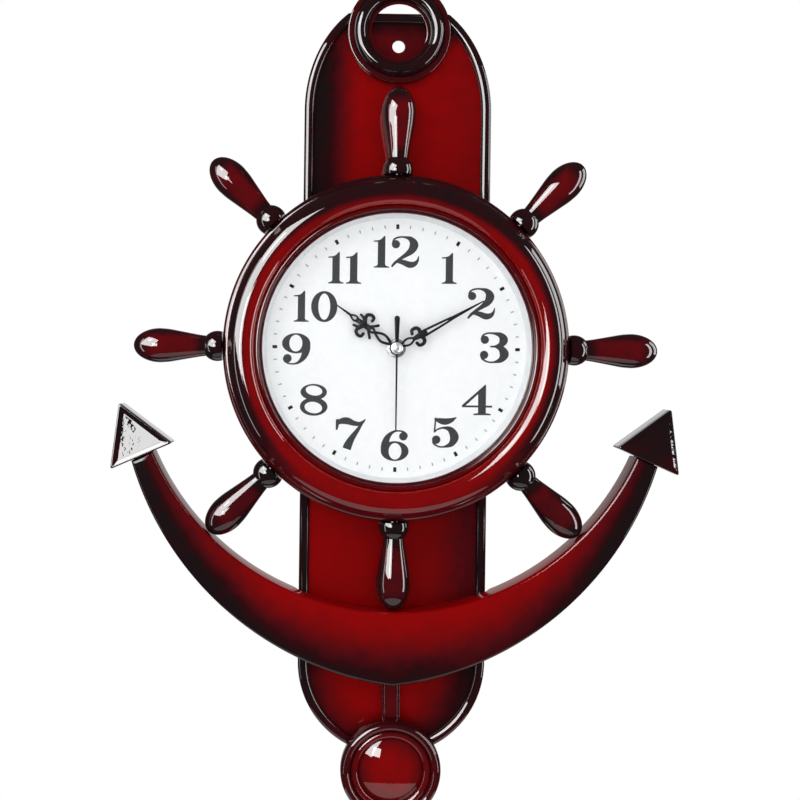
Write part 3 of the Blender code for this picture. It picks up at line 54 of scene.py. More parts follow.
# Sizes are in millimetres in the dial's frame: x right, y up, z out from the wall, dial centre at 0
MM = 0.001
DIAL_DROP = 240.5  # dial's centre below the hanging hole
SEAT = 22.3  # rear of what stands on the board
OVER_RIM = 26.3  # rear of what crosses the panel's rim
WALL = 2.5  # thickness of the hollow mouldings
PANEL_HALF = 74.3
ARCH_BASE, ARCH_RISE = 188.8, 92.0
ARCH_CUT, PANEL_TOP = 77.5, 266.3  # the flat top, above the arch's base and above the dial's centre
FOOT = -249.8  # centre of the panel's round foot
BOARD_REAR, BOARD_MIDDLE = 19.5, 20.75
RING_UP, BOB_UP = 250.7, -332.2  # centres of the ring and of the bob
EIGHTH = math.pi / 4  # turn from one wheel handle to the next
ARMS_INNER, ARMS_OUTER = 205.5, 246.0
KEEL_SHIFT, KEEL_DROP = 30.7, 18.8
ARM_END = 23.7  # degrees below the horizontal
ARMS_FRONT = 46.0
FLUKE_HALF = 26.0
FLUKE_REAR, FLUKE_FRONT = 27.0, 47.0
FLUKE_SIDES = 45.0  # top of a fluke's upright sides
FLUKE_LEAN, FLUKE_PIVOT = 0.05, -74.25  # slope of a fluke's face, and the height that it leans about
PRINT_REAR, PRINT_FRONT = 39.98, 40.05
ON_DIAL = 40.3  # rear of what stands on the dial
BEZEL_SCREWS = [(x, y) for x in (-43.9, 43.9) for y in (-114.5, 114.5)]
ARM_SCREWS = [(-54.3, -225.75), (54.3, -225.75)]


def facing(height):
    """The frame of the front, at a height above the dial's centre."""
    place = Matrix.Translation((0, 0, (height - DIAL_DROP) * MM))
    return place @ Matrix.Rotation(math.pi / 2, 4, "X") @ Matrix.Scale(MM, 4)


DIAL = facing(0)
RING = facing(RING_UP)
BOB = facing(BOB_UP)


# Shapes


def arc(centre, radii, start, end, steps):
    """Points of an arc or of part of an ellipse, between two angles in degrees."""
    turns = [math.radians(start + (end - start) * i / steps) for i in range(steps + 1)]
    return [(centre[0] + radii[0] * math.cos(a), centre[1] + radii[1] * math.sin(a)) for a in turns]


def polar(radius, degrees):
    return Vector((radius * math.cos(math.radians(degrees)), radius * math.sin(math.radians(degrees))))


def rounded(corners, closed=True, steps=5):
    """A path through (x, y, radius) corners with each one rounded."""
    path, count = [], len(corners)
    for i, (x, y, radius) in enumerate(corners):
        here = Vector((x, y))
        if not radius or (not closed and i in (0, count - 1)):
            path.append((x, y))
            continue
        back = Vector(corners[i - 1][:2]) - here
        on = Vector(corners[(i + 1) % count][:2]) - here
        half = back.angle(on) / 2
        room = 0.48 * min(back.length, on.length)  # less than half a side, so that two corners don't meet
        run = min(radius / math.tan(half), room)
        centre = here + (back.normalized() + on.normalized()).normalized() * run / math.cos(half)
        first = here + back.normalized() * run - centre
        last = here + on.normalized() * run - centre
        sweep = first.angle_signed(last)
        for k in range(steps + 1):
            turned_by = Matrix.Rotation(-sweep * k / steps, 2)
            path.append(tuple(centre + turned_by @ first))
    return path


def smooth(knots, steps):
    """A smooth path through knots of any number of values."""
    ends = [[2 * a - b for a, b in zip(knots[0], knots[1])], *knots]
    ends.append([2 * a - b for a, b in zip(knots[-1], knots[-2])])
    path = []
    for p0, p1, p2, p3 in zip(ends, ends[1:], ends[2:], ends[3:]):
        for k in range(steps):
            t = k / steps
            path.append(tuple(
                0.5 * (2 * b + (c - a) * t + (2 * a - 5 * b + 4 * c - d) * t**2
                       + (3 * b - a - 3 * c + d) * t**3)
                for a, b, c, d in zip(p0, p1, p2, p3)
            ))
    return path + [tuple(knots[-1])]


def inset(outline, distance):
    """A counter-clockwise outline moved inwards."""
    if not distance:
        return list(outline)
    moved, count = [], len(outline)
    for i in range(count):
        before, here, after = (Vector(outline[j % count]) for j in (i - 1, i, i + 1))
        a, b = (here - before).normalized(), (after - here).normalized()
        first, second = Vector((-a.y, a.x)), Vector((-b.y, b.x))
        mitre = max(0.25, 1 + first.dot(second))  # keeps a sharp corner from shooting off
        moved.append(tuple(here + (first + second) * distance / mitre))
    return moved


def ccw(outline):
    """An outline in counter-clockwise order."""
    area = sum(a[0] * b[1] - b[0] * a[1] for a, b in zip(outline, outline[1:] + outline[:1]))
    return outline if area > 0 else outline[::-1]


class Shape:
    """Points and faces of one piece."""

    def __init__(self):
        self.points, self.faces = [], []

    def ring(self, points):
        start = len(self.points)
        self.points += points
        return range(start, len(self.points))

    def level(self, loop, height, rear=None):
        """A ring at a height; rear lifts the points that stand on the board."""
        return self.ring([(x, y, max(height, rear(x, y)) if rear else height) for x, y in loop])

    def join(self, rings, closed=False):
        pairs = list(zip(rings, rings[1:])) + ([(rings[-1], rings[0])] if closed else [])
        for one, two in pairs:
            self.faces += [(one[i - 1], one[i], two[i], two[i - 1]) for i in range(len(one))]

    def turned(self, profile, segments, closed=True, rear=None):
        """A profile of (radius, height) turned round z."""
        rings = []
        for radius, height in profile:
            spin = arc((0, 0), (radius, radius), 0, 360 - 360 / segments, segments - 1)
            rings.append(self.level(spin, height, rear))
        self.join(rings, closed)
        return self

    def raised(self, outline, steps, base=True, rear=None):
        """An outline taken through (inset, height) steps; base closes the first one as well."""
        outline = ccw(outline)
        rings = [self.level(inset(outline, distance), height, rear) for distance, height in steps]
        self.join(rings)
        if base:
            self.faces.append(tuple(reversed(rings[0])))
        self.faces.append(tuple(rings[-1]))
        return self

    def band(self, outer, inner, bottom, top):
        """A flat ring between two loops of equally many points."""
        levels = ((outer, bottom), (outer, top), (inner, top), (inner, bottom))
        self.join([self.level(loop, z) for loop, z in levels], True)
        return self

    def moved(self, matrix):
        self.points = [tuple(matrix @ Vector(p)) for p in self.points]
        return self

    def add(self, other):
        start = len(self.points)
        self.points += other.points
        self.faces += [tuple(i + start for i in face) for face in other.faces]
        return self


def post(x, y, radius, rear, front):
    """A round post with a softened rear edge."""
    stem = rounded([(0, rear, 0), (radius, rear, 0.5), (radius, front, 0), (0, front, 0)], False)
    return Shape().turned(stem, 32, False).moved(Matrix.Translation((x, y, 0)))


def linked(name, data):
    obj = bpy.data.objects.new(name, data)
    scene.collection.objects.link(obj)
    return obj


def piece(name, shape, material, body, matrix=DIAL, replaces=(), sharp=42):
    """A shape as an object on a body; edges above sharp, in degrees, aren't smoothed."""
    mesh = bpy.data.meshes.new(name)
    mesh.from_pydata([matrix @ Vector(p) for p in shape.points], [], shape.faces)
    bm = bmesh.new()
    bm.from_mesh(mesh)
    bmesh.ops.remove_doubles(bm, verts=bm.verts, dist=1e-7)
    bmesh.ops.dissolve_degenerate(bm, edges=bm.edges, dist=1e-8)
    bmesh.ops.recalc_face_normals(bm, faces=bm.faces)
    bm.to_mesh(mesh)
    bm.free()
    mesh.shade_smooth()
    mesh.set_sharp_from_angle(angle=math.radians(sharp))
    mesh.materials.append(material)
    obj = linked(name, mesh)
    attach(obj, body)
    if replaces:
        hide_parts(*replaces)


# Materials


def add_node(tree, kind, inputs=(), **settings):
    """A shader node, with each input set to a value or linked to a socket."""
    made = tree.nodes.new("ShaderNode" + kind)
    for key, value in settings.items():
        setattr(made, key, value)
    for key, value in dict(inputs).items():
        if isinstance(value, bpy.types.NodeSocket):
            tree.links.new(value, made.inputs[key])
        else:
            made.inputs[key].default_value = value
    return made


class Paint:
    """A material built from nodes."""

    def __init__(self, name, **settings):
        self.material = bpy.data.materials.new(name)
        self.material.use_nodes = True
        self.tree = self.material.node_tree
        self.node = partial(add_node, self.tree)
        self.shader = self.tree.nodes["Principled BSDF"]
        for key, value in settings.items():
            self.shader.inputs[key.replace("_", " ")].default_value = value

    def math(self, operation, *values, clamp=False):
        return self.node("Math", enumerate(values), operation=operation, use_clamp=clamp).outputs[0]

    def plus(self, a, b, clamp=False):
        return self.math("ADD", a, b, clamp=clamp)

    def minus(self, a, b):
        return self.math("SUBTRACT", a, b)

    def times(self, a, b, clamp=False):
        return self.math("MULTIPLY", a, b, clamp=clamp)

    def line(self, value, slope, start):
        """A value times slope, plus start."""
        return self.math("MULTIPLY_ADD", value, slope, start)

    def most(self, a, b):
        return self.math("MAXIMUM", a, b)

    def absolute(self, value):
        return self.math("ABSOLUTE", value)

    def share(self, value, low, high):
        """0 to 1 as a value goes from low to high, with soft ends."""
        limits = {"Value": value, "From Min": low, "From Max": high}
        return self.node("MapRange", limits, interpolation_type="SMOOTHSTEP").outputs["Result"]

    def between(self, value, low, high):
        """low to high as a value goes from 0 to 1."""
        return self.node("MapRange", {"Value": value, "To Min": low, "To Max": high}).outputs["Result"]

    def place(self):
        """x and y of the dial's frame, in millimetres."""
        world = self.node("SeparateXYZ", {0: self.node("TexCoord").outputs["Object"]}).outputs
        return self.times(world["X"], 1 / MM), self.line(world["Z"], 1 / MM, DIAL_DROP)

    def reach(self, x, y, centre=(0, 0)):
        """Distance from a centre in the plane of the dial."""
        a, b = self.minus(x, centre[0]), self.minus(y, centre[1])
        return self.math("SQRT", self.plus(self.times(a, a), self.times(b, b)))

    def wallward(self):
        """1 on surfaces that face the wall, 0 on the others."""
        made = self.node("SeparateXYZ", {0: self.node("NewGeometry").outputs["True Normal"]})
        return self.share(made.outputs["Y"], 0.25, 0.55)

    def noise(self, scale, detail=3.0, stretch=None):
        coords = self.node("TexCoord").outputs["Object"]
        if stretch:
            coords = self.node("Mapping", {0: coords, "Scale": stretch}).outputs[0]
        return self.node("TexNoise", {"Vector": coords, "Scale": scale, "Detail": detail}).outputs["Fac"]

    def ramp(self, value, *stops):
        """A colour from (place, colour) stops."""
        made = self.node("ValToRGB", {0: value})
        ends = made.color_ramp.elements
        while len(ends) < len(stops):
            ends.new(0.5)
        for end, (at, colour) in zip(ends, stops):
            end.position = at
            end.color = (*colour, 1)
        return made.outputs[0]

    def blend(self, share, one, two):
        """One colour to the other as a share goes from 0 to 1."""
        return self.node("Mix", {0: share, 6: one, 7: two}, data_type="RGBA").outputs[2]

    def set(self, **links):
        for key, value in links.items():
            self.tree.links.new(value, self.shader.inputs[key.replace("_", " ")])

    def bump(self, height, strength, distance, *more):
        made = self.node("Bump", {"Height": height, "Strength": strength, "Distance": distance})
        self.set(**{socket: made.outputs[0] for socket in ("Normal", *more)})


BLACK = (0.01, 0.0052, 0.006)
DARK = (0.026, 0.0028, 0.004)
MAROON = (0.072, 0.003, 0.005)
WINE = (0.15, 0.0022, 0.003)
RED = (0.25, 0.0015, 0.002)
SUNBURST = ((0.0, RED), (0.3, WINE), (0.55, MAROON), (0.8, DARK), (1.0, BLACK))
BARE_TONE = 0.7  # of the moulding where the spray doesn't reach
FINE = 0.0004  # height of the grain, in metres


def lacquer(name, field, ripple=0.0, gloss=1.0):
    """Sunburst lacquer under a clear coat; field gives 0 for red to 1 for black, with painted shade and
    painted reflection in some fields.
    """
    haze = 0.12 - 0.1 * gloss
    paint = Paint(name, Specular_IOR_Level=0.0, Coat_Weight=gloss, Coat_Roughness=haze, Coat_IOR=1.5)
    cloud = paint.line(paint.noise(22.0, 4.0), 0.24, -0.12)
    mottle = paint.line(paint.noise(95.0, 5.0), 0.3, -0.15)
    sprayed_and_shaded = paint.plus(field(paint), cloud, True)
    rear = paint.times(paint.wallward(), paint.minus(BARE_TONE, sprayed_and_shaded))
    tone = paint.plus(paint.plus(sprayed_and_shaded, rear), mottle, True)
    paint.set(Base_Color=paint.ramp(tone, *SUNBURST))
    paint.set(Roughness=paint.between(paint.noise(60.0, 5.0), 0.22, 0.36))
    peel = paint.noise(330.0, 1.0)
    if ripple:
        peel = paint.plus(peel, paint.times(paint.noise(120.0, 3.0), ripple))
    paint.bump(peel, 0.035, FINE, "Coat_Normal")
    return paint.material


# Fields of the lacquer: how dark each moulding is over its surface, sunburst spray with painted shade and
# painted reflection in some


def bezel_field(paint):
    x, y = paint.place()
    radius = paint.reach(x, y)
    inner = paint.times(paint.share(radius, 110.4, 106.5), 0.62)
    # painted shade: the roll is darker over the top and sides of the bezel than at the bottom
    shade_at_top = paint.times(paint.share(y, 60.0, 115.0), 3.5)
    dark = paint.times(paint.share(paint.plus(radius, shade_at_top), 113.5, 123.5), 0.92)
    light = paint.times(paint.share(radius, 116.0, 130.0), 0.55)
    lift = paint.share(y, -115.0, -55.0)
    outer = paint.plus(paint.times(dark, lift), paint.times(light, paint.minus(1.0, lift)))
    # painted reflection: the outer flange is lighter at the sides of the bezel
    paler = paint.times(lift, paint.share(y, 135.0, 70.0))
    flange = paint.times(paint.times(paint.share(radius, 130.6, 133.0), 0.3), paler)
    return paint.most(paint.minus(paint.most(inner, outer), flange), 0.17)


def panel_field(paint):
    x, y = paint.place()
    above = paint.share(y, -40.0, 40.0)
    left = paint.times(paint.share(x, -26.0, -62.0), above)
    right = paint.times(paint.share(x, 0.0, 74.0), paint.line(above, -0.4, 0.62))
    # painted shade: the board is darker inside the ring's opening and around the ring at the top
    inside = paint.times(paint.share(paint.reach(x, y, (0.0, RING_UP)), 42.0, 20.0), 0.5)
    top = paint.most(paint.times(paint.share(y, 228.0, 264.0), 0.88), inside)
    round_foot = paint.share(paint.reach(x, y, (-6.0, -258.0)), 24.0, 78.0)
    foot = paint.times(round_foot, paint.share(y, -215.0, -250.0))
    return paint.most(paint.most(left, right), paint.most(top, foot))


def arms_field(paint):
    x, y = paint.place()
    aside = paint.absolute(x)
    keel = paint.reach(paint.plus(aside, KEEL_SHIFT), y, (0.0, -KEEL_DROP))
    below = paint.minus(ARMS_OUTER, keel)
    above = paint.minus(paint.reach(x, y), ARMS_INNER)
    across = paint.math("DIVIDE", above, paint.most(paint.plus(above, below), 1.0))
    ends = paint.times(paint.share(aside, 60.0, 195.0), 0.55)
    paler = paint.times(paint.share(x, 0.0, 110.0), paint.share(x, 195.0, 130.0))
    return paint.times(paint.plus(paint.share(across, 0.06, 1.15), ends), paint.line(paler, -0.24, 1.0), True)


def handle_field(paint):
    x, y = paint.place()
    reach = paint.reach(x, y)
    turn = paint.math("DIVIDE", paint.math("ARCTAN2", y, x), EIGHTH)
    aside = paint.times(paint.minus(turn, paint.math("ROUND", turn)), EIGHTH)
    # painted shade: each handle is darker along its turned sides
    edge = paint.share(paint.absolute(paint.times(reach, aside)), 5.0, 12.5)
    ends = paint.most(paint.share(reach, 160.0, 149.0), paint.share(reach, 186.0, 202.0))
    # painted shade: the lower handles are darker than the upper ones
    low = paint.times(paint.share(y, 20.0, -90.0), 0.12)
    return paint.plus(paint.line(paint.most(edge, ends), 0.45, 0.46), low)


def ring_field(paint):
    x, y = paint.place()
    radius = paint.reach(x, y, (0.0, RING_UP))
    roll = paint.times(paint.share(radius, 22.5, 26.0), 0.32)
    flange = paint.times(paint.share(radius, 35.4, 37.0), 0.26)
    return paint.plus(paint.minus(roll, flange), 0.62)


def rim_field(paint):
    x, y = paint.place()
    edge = paint.most(paint.share(paint.absolute(x), 40.0, 74.0), paint.share(y, 235.0, 258.0))
    return paint.line(edge, 0.2, 0.76)


def fluke_field(paint):
    _, y = paint.place()
    return paint.line(paint.share(y, -95.0, -60.0), 0.2, 0.8)


def bob_field(paint):
    x, y = paint.place()
    return paint.line(paint.share(paint.reach(x, y, (0.0, BOB_UP)), 27.0, 40.0), 0.34, 0.42)


def cap_field(paint):
    x, y = paint.place()
    return paint.line(paint.share(paint.reach(x, y, (0.0, BOB_UP)), 12.0, 26.0), 0.3, 0.14)


def rod_field(paint):
    x, _ = paint.place()
    return paint.line(paint.share(paint.absolute(x), 3.0, 7.0), 0.3, 0.5)


FIELDS = {
    "bezel": bezel_field, "panel": panel_field, "arms": arms_field, "handle": handle_field,
    "ring": ring_field, "rim": rim_field, "fluke": fluke_field, "bob": bob_field, "cap": cap_field,
    "rod": rod_field,
}
RIPPLES = {"fluke": 4.5}
THIN_COATS = {"panel": 0.3, "arms": 0.6}
LACQUERS = {
    key: lacquer(key + "_lacquer", field, RIPPLES.get(key, 0.0), THIN_COATS.get(key, 1.0))
    for key, field in FIELDS.items()
}


def plain(name, dark, light, rough, scale, bump=0.05, metallic=0.0, stretch=None, depth=FINE, **settings):
    """A material whose tone and gloss vary a little over the surface."""
    paint = Paint(name, Metallic=metallic, **settings)
    grain = paint.noise(scale, 4.0, stretch)
    paint.set(Base_Color=paint.ramp(paint.share(grain, 0.3, 0.7), (0.0, dark), (1.0, light)))
    paint.set(Roughness=paint.between(grain, *rough))
    paint.bump(paint.noise(scale * 4, 2.0, stretch), bump, depth)
    return paint.material


metal = partial(plain, metallic=1.0)
ink = partial(plain, bump=0.04, Specular_IOR_Level=0.05)


def dial_card():
    """White printed face on a grey board."""
    paint = Paint("dial_card", Specular_IOR_Level=0.1)
    grain = paint.noise(260.0, 4.0)
    face = paint.ramp(paint.share(grain, 0.3, 0.7), (0.0, (0.92, 0.925, 0.93)), (1.0, (0.95, 0.955, 0.96)))
    fibre = paint.noise(900.0, 5.0, (1, 1, 0.3))
    back = paint.ramp(fibre, (0.3, (0.27, 0.25, 0.22)), (0.7, (0.4, 0.38, 0.34)))
    paint.set(Base_Color=paint.blend(paint.wallward(), face, back))
    paint.set(Roughness=paint.between(grain, 0.5, 0.62))
    paint.bump(paint.noise(1040.0, 2.0), 0.03, FINE)
    return paint.material


def cell_sleeve():
    """A printed sleeve in two plain bands."""
    paint = Paint("cell_sleeve", Metallic=0.35)
    x, _ = paint.place()
    grain = paint.noise(500.0, 3.0)
    dark = paint.ramp(grain, (0.3, (0.012, 0.016, 0.03)), (0.7, (0.022, 0.028, 0.05)))
    gold = paint.ramp(grain, (0.3, (0.3, 0.2, 0.075)), (0.7, (0.38, 0.27, 0.11)))
    paint.set(Base_Color=paint.blend(paint.share(x, 11.0, 11.6), dark, gold))
    paint.set(Roughness=paint.between(grain, 0.24, 0.36))
    return paint.material


def lens_glass():
    """Clear coated glass that lets lamp and bounce light straight through to the dial."""
    paint = Paint("lens_glass", Transmission_Weight=1.0, IOR=1.15)
    smear = paint.noise(30.0, 3.0)
    paint.set(Base_Color=paint.ramp(smear, (0.3, (0.985, 0.995, 0.99)), (0.7, (1.0, 1.0, 1.0))))
    paint.set(Roughness=paint.between(smear, 0.004, 0.02))
    path = paint.node("LightPath")
    through = paint.most(path.outputs["Is Shadow Ray"], path.outputs["Is Diffuse Ray"])
    clear = paint.node("BsdfTransparent", {"Color": (0.99, 0.995, 0.995, 1)})
    mixed = paint.node("MixShader", {0: through, 1: paint.shader.outputs[0], 2: clear.outputs[0]})
    paint.tree.links.new(mixed.outputs[0], paint.tree.nodes["Material Output"].inputs["Surface"])
    return paint.material


DIAL_CARD = dial_card()
CELL = cell_sleeve()
GLASS = lens_glass()
# Dark and light tone, lowest and highest roughness, scale of the grain, strength of the bump
PRINT_GREY = ink("print_grey", (0.042, 0.043, 0.048), (0.062, 0.063, 0.069), (0.45, 0.6), 700.0)
PRINT_BLACK = ink("print_black", (0.008, 0.008, 0.009), (0.016, 0.016, 0.018), (0.4, 0.55), 700.0)
PRINT_PALE = ink("print_pale", (0.33, 0.35, 0.38), (0.42, 0.44, 0.47), (0.45, 0.6), 700.0)
HAND_BLACK = plain(
    "hand_black", (0.005, 0.005, 0.006), (0.01, 0.01, 0.012), (0.4, 0.55), 420.0, Specular_IOR_Level=0.08
)
SPACER_WHITE = plain("spacer_white", (0.7, 0.71, 0.73), (0.78, 0.79, 0.81), (0.35, 0.48), 120.0, 0.03)
MOULDED = plain("moulded_black", (0.01, 0.01, 0.011), (0.017, 0.017, 0.018), (0.42, 0.58), 900.0, 0.25)
HOUSING = plain("housing_black", (0.013, 0.013, 0.014), (0.021, 0.021, 0.022), (0.38, 0.52), 700.0, 0.2)
GEAR = plain("gear_plastic", (0.66, 0.62, 0.52), (0.76, 0.72, 0.62), (0.36, 0.5), 300.0, 0.06)
BOARD = plain("board_green", (0.008, 0.085, 0.03), (0.014, 0.13, 0.05), (0.3, 0.44), 420.0, 0.08)
RUBBER = plain("black_rubber", (0.012, 0.012, 0.012), (0.02, 0.02, 0.02), (0.6, 0.75), 800.0, 0.2)
MAGNET = plain("magnet_grey", (0.07, 0.07, 0.075), (0.11, 0.11, 0.115), (0.34, 0.5), 500.0, 0.15, 0.6)
CHROME = metal("chrome", (0.74, 0.74, 0.76), (0.82, 0.82, 0.84), (0.24, 0.32), 240.0, 0.01)
BRASS = metal("brass", (0.5, 0.36, 0.14), (0.62, 0.47, 0.22), (0.22, 0.36), 200.0)
NICKEL = metal("nickel", (0.2, 0.2, 0.21), (0.28, 0.28, 0.29), (0.38, 0.5), 300.0, 0.04)
ZINC = metal("zinc", (0.5, 0.49, 0.44), (0.62, 0.6, 0.54), (0.26, 0.42), 320.0, 0.06)
STEEL = metal("steel", (0.46, 0.46, 0.48), (0.58, 0.58, 0.6), (0.22, 0.38), 160.0, 0.06, stretch=(1, 1, 9))
COPPER = metal(
    "copper_wire", (0.4, 0.14, 0.045), (0.56, 0.22, 0.08), (0.24, 0.36), 60.0, 0.5,
    stretch=(1, 1, 28), depth=0.0003,
)


# Panel


def panel_outline(distance):
    half, rise = PANEL_HALF - distance, ARCH_RISE - distance
    cut = math.degrees(math.asin((ARCH_CUT - distance) / rise))
    right = arc((0, ARCH_BASE), (half, rise), cut, 0, 40)
    left = arc((0, ARCH_BASE), (half, rise), 180, 180 - cut, 40)
    return right + arc((0, FOOT), (half, half), 0, -180, 96) + left


def over_rim(x, y):
    """Rear of what stands on the board, lifted where it crosses the rim."""
    if y >= ARCH_BASE:
        inside = ARCH_RISE - math.hypot(x * ARCH_RISE / PANEL_HALF, y - ARCH_BASE)
        inside = min(inside, PANEL_TOP - y)
    elif y <= FOOT:
        inside = PANEL_HALF - math.hypot(x, y - FOOT)
    else:
        inside = PANEL_HALF - abs(x)
    near_rim = -2.6 < inside < 10.6
    return OVER_RIM if near_rim else SEAT


def panel_rim():
    section = [(WALL, 0.0), (0.7, 0.0), (0.2, 0.2), (0.0, 0.7)]
    section += [*arc((4.0, SEAT), (-4.0, 3.7), 0, 180, 20), (WALL, SEAT)]
    rim = Shape()
    rim.join([rim.level(panel_outline(distance), z) for distance, z in section], True)
    piece("panel_frame_moulding", rim, LACQUERS["rim"], "clock", replaces=["panel_frame"])


def panel_board():
    """The flat board, filled from a curve with its window, its hanging hole and the pendulum's slot."""
    window = arc((0, 0), (60.3, 60.3), 0, 358, 179)
    hole = arc((0, DIAL_DROP), (5.25, 5.25), 0, 355, 71)
    slot = rounded([(-18, -256, 2), (18, -256, 2), (18, -214, 2), (-18, -214, 2)])
    curve = bpy.data.curves.new("board", "CURVE")
    curve.dimensions = "2D"
    curve.fill_mode = "BOTH"
    curve.extrude = 1.05
    curve.bevel_depth = 0.2
    curve.bevel_resolution = 2
    for loop in (panel_outline(3.0), hole, window, slot):
        spline = curve.splines.new("POLY")
        spline.points.add(len(loop) - 1)
        for point, (x, y) in zip(spline.points, loop):
            point.co = (x, y, 0, 1)
        spline.use_cyclic_u = True
    guide = linked("board", curve)
    flat = guide.evaluated_get(bpy.context.evaluated_depsgraph_get()).to_mesh()
    board = Shape()
    board.points = [(v.co.x, v.co.y, v.co.z + BOARD_MIDDLE) for v in flat.vertices]
    board.faces = [tuple(face.vertices) for face in flat.polygons]
    bpy.data.objects.remove(guide)
    piece("panel_board", board, LACQUERS["panel"], "clock", replaces=["back_panel"], sharp=12)


def hanging_boss():
    """The boss behind the hanging hole, flared so that a nail finds it from below."""
    profile = rounded([
        (6.1, 19.2, 0), (9.25, 19.2, 0.3), (9.25, 14.0, 3.0),
        (13.0, 3.0, 3.0), (13.0, 0.0, 0.4), (11.5, 0.0, 0),
    ])
    flare, hole = Shape().turned(profile, 72), facing(DIAL_DROP)
    piece("hanging_boss_flare", flare, MOULDED, "clock", hole, ["hanging_boss"])


def anchor_ring():
    profile = rounded([(24.2, SEAT, 0), (40.8, SEAT, 0), (40.8, 28.6, 1.2), (36.1, 28.6, 0)], False)
    profile += arc((30.4, 27.6), (5.4, 7.2), 0, 180, 28)
    profile += [(25.0, 26.9), (22.3, 26.9), (22.08, 26.8), (22.0, 26.6), (22.0, OVER_RIM), (24.2, OVER_RIM)]
    ring = Shape().turned(profile, 160, rear=lambda x, y: over_rim(x, y + RING_UP))
    piece("ring_moulding", ring, LACQUERS["ring"], "clock", RING, ["anchor_ring"])


# Wheel


def bezel():
    profile = [(135.6, SEAT), (135.6, 36.0)] + arc((131.4, 38.4), (4.2, 4.6), 0, 90, 14)
    profile += rounded([(131.2, 43.0, 0), (130.2, 43.0, 0.5), (130.0, 44.0, 0)], False)
    profile += smooth(
        [(130.2, 44.6), (130.4, 49.0), (130.45, 52.8), (130.0, 54.7), (128.4, 57.2), (126.63, 59.24)], 6
    )
    profile += arc((118.0, 50.9), (12.0, 12.0), 44, 90, 24)[1:]
    profile += arc((118.0, 53.9), (9.0, 9.0), 90, 152, 24)[1:]
    profile += rounded([(109.9, 57.4, 0), (109.6, 55.2, 0.3), (109.2, 55.2, 0.1), (109.05, 56.0, 0)], False)
    profile += arc((107.45, 56.2), (1.6, 1.6), 0, 180, 14)
    profile += rounded([(105.85, 55.4, 0), (105.6, 54.7, 0.3), (104.0, 54.6, 0.5), (103.7, 53.1, 0)], False)
    profile += [(107.3, 53.1), (113.7, 53.7), (120.6, 60.5)]
    profile += arc((120.6, 43.0), (6.9, 17.5), 40, 0, 6) + [(127.5, 40.5), (133.1, 40.5), (133.1, SEAT)]
    moulding = Shape().turned(profile, 288, rear=over_rim)
    piece("bezel_moulding", moulding, LACQUERS["bezel"], "clock", replaces=["wheel_bezel"])
    posts = Shape()
    for quarter in range(4):
        posts.add(post(*polar(122.0, 45 + 90 * quarter), 3.0, 38.5, 58.0))
    for x, y in BEZEL_SCREWS:
        posts.add(post(x, y, 4.0, SEAT, 58.0))
    piece("bezel_posts", posts, MOULDED, "clock")


def handles():
    widest, at = 13.5, 184.31
    tenon = rounded([(0, 128.6, 0), (4.0, 128.6, 0.6), (4.0, 135.9, 0), (11.35, 135.9, 0)], False)
    bead = arc((0, 139.8), (12.0, 12.0), -18.9, 48.2, 16)
    grip = smooth([(8.0, 148.74), (8.9, 155.0), (11.2, 167.56), (12.9, 177.0), (widest, at)], 8)
    tip = arc((0, at), (widest, 20.89), 0, 90, 16)[1:]
    stand = Matrix.Translation((0, 0, 35.8)) @ Matrix.Rotation(-math.pi / 2, 4, "X")
    for number in range(8):
        spoke = Shape().turned(tenon + bead + grip + tip, 72, False)
        name = f"wheel_handle_{number + 1}"
        label = name.replace("handle", "spoke")
        matrix = DIAL @ Matrix.Rotation(-EIGHTH * number, 4, "Z") @ stand
        piece(label, spoke, LACQUERS["handle"], "clock", matrix, [name], 30)


# Arms and flukes


def end_angle(side):
    return -ARM_END if side > 0 else ARM_END - 180


def outer_reach(side):
    """Distance from the dial's centre to the outer corner at an arm's end."""
    ray = polar(1, end_angle(side))
    centre = Vector((-side * KEEL_SHIFT, -KEEL_DROP))
    along = centre.dot(ray)
    return along + math.sqrt(along**2 - centre.length_squared + ARMS_OUTER**2)


def arm_end(side):
    """Middle of an arm's end, the way along the end, and the way on past it."""
    along = polar(1, end_angle(side))
    past = Vector((-side * along.y, side * along.x))
    return along * (ARMS_INNER + outer_reach(side)) / 2, along, past


def arms():
    outline = arc((0, 0), (ARMS_INNER, ARMS_INNER), -ARM_END, ARM_END - 180, 150)
    for side in (-1, 1):
        centre = (-side * KEEL_SHIFT, -KEEL_DROP)
        corner = polar(outer_reach(side), end_angle(side))
        end = math.degrees(math.atan2(corner[1] - centre[1], corner[0] - centre[0]))
        keel = math.degrees(math.atan2(-math.sqrt(ARMS_OUTER**2 - KEEL_SHIFT**2), side * KEEL_SHIFT))
        start, stop = (end, keel) if side < 0 else (keel, end)
        outline += arc(centre, (ARMS_OUTER, ARMS_OUTER), start, stop, 80)[0 if side < 0 else 1:]

    def rear(x, y):
        """Leaves room for the swinging rod."""
        return 30.8 if abs(x) < 15.5 and y < -250 else over_rim(x, y)

    steps = [(WALL, ARMS_FRONT - WALL), (WALL, SEAT), (0.4, SEAT), (0.0, 31.2)]
    steps += [*arc((3.2, ARMS_FRONT - 3.0), (-3.2, 3.0), 0, 90, 9), (3.7, ARMS_FRONT)]
    shell = Shape().raised(outline, steps, rear=rear)
    piece("arms_moulding", shell, LACQUERS["arms"], "clock", replaces=["anchor_arms"])
    bosses = Shape()
    for x, y in ARM_SCREWS:
        bosses.add(post(x, y, 4.0, SEAT, 43.8))
    for side in (-1, 1):
        middle, along, past = arm_end(side)
        corners = [middle + along * a + past * b for a, b in ((-8, -1.2), (8, -1.2), (8, 6.0), (-8, 6.0))]
        tongue = [(0.3, 30.6), (0, 30.9), (0, 37.4), (0.3, 37.7)]
        bosses.add(Shape().raised([tuple(c) for c in corners], tongue))
    piece("arm_bosses", bosses, MOULDED, "clock")


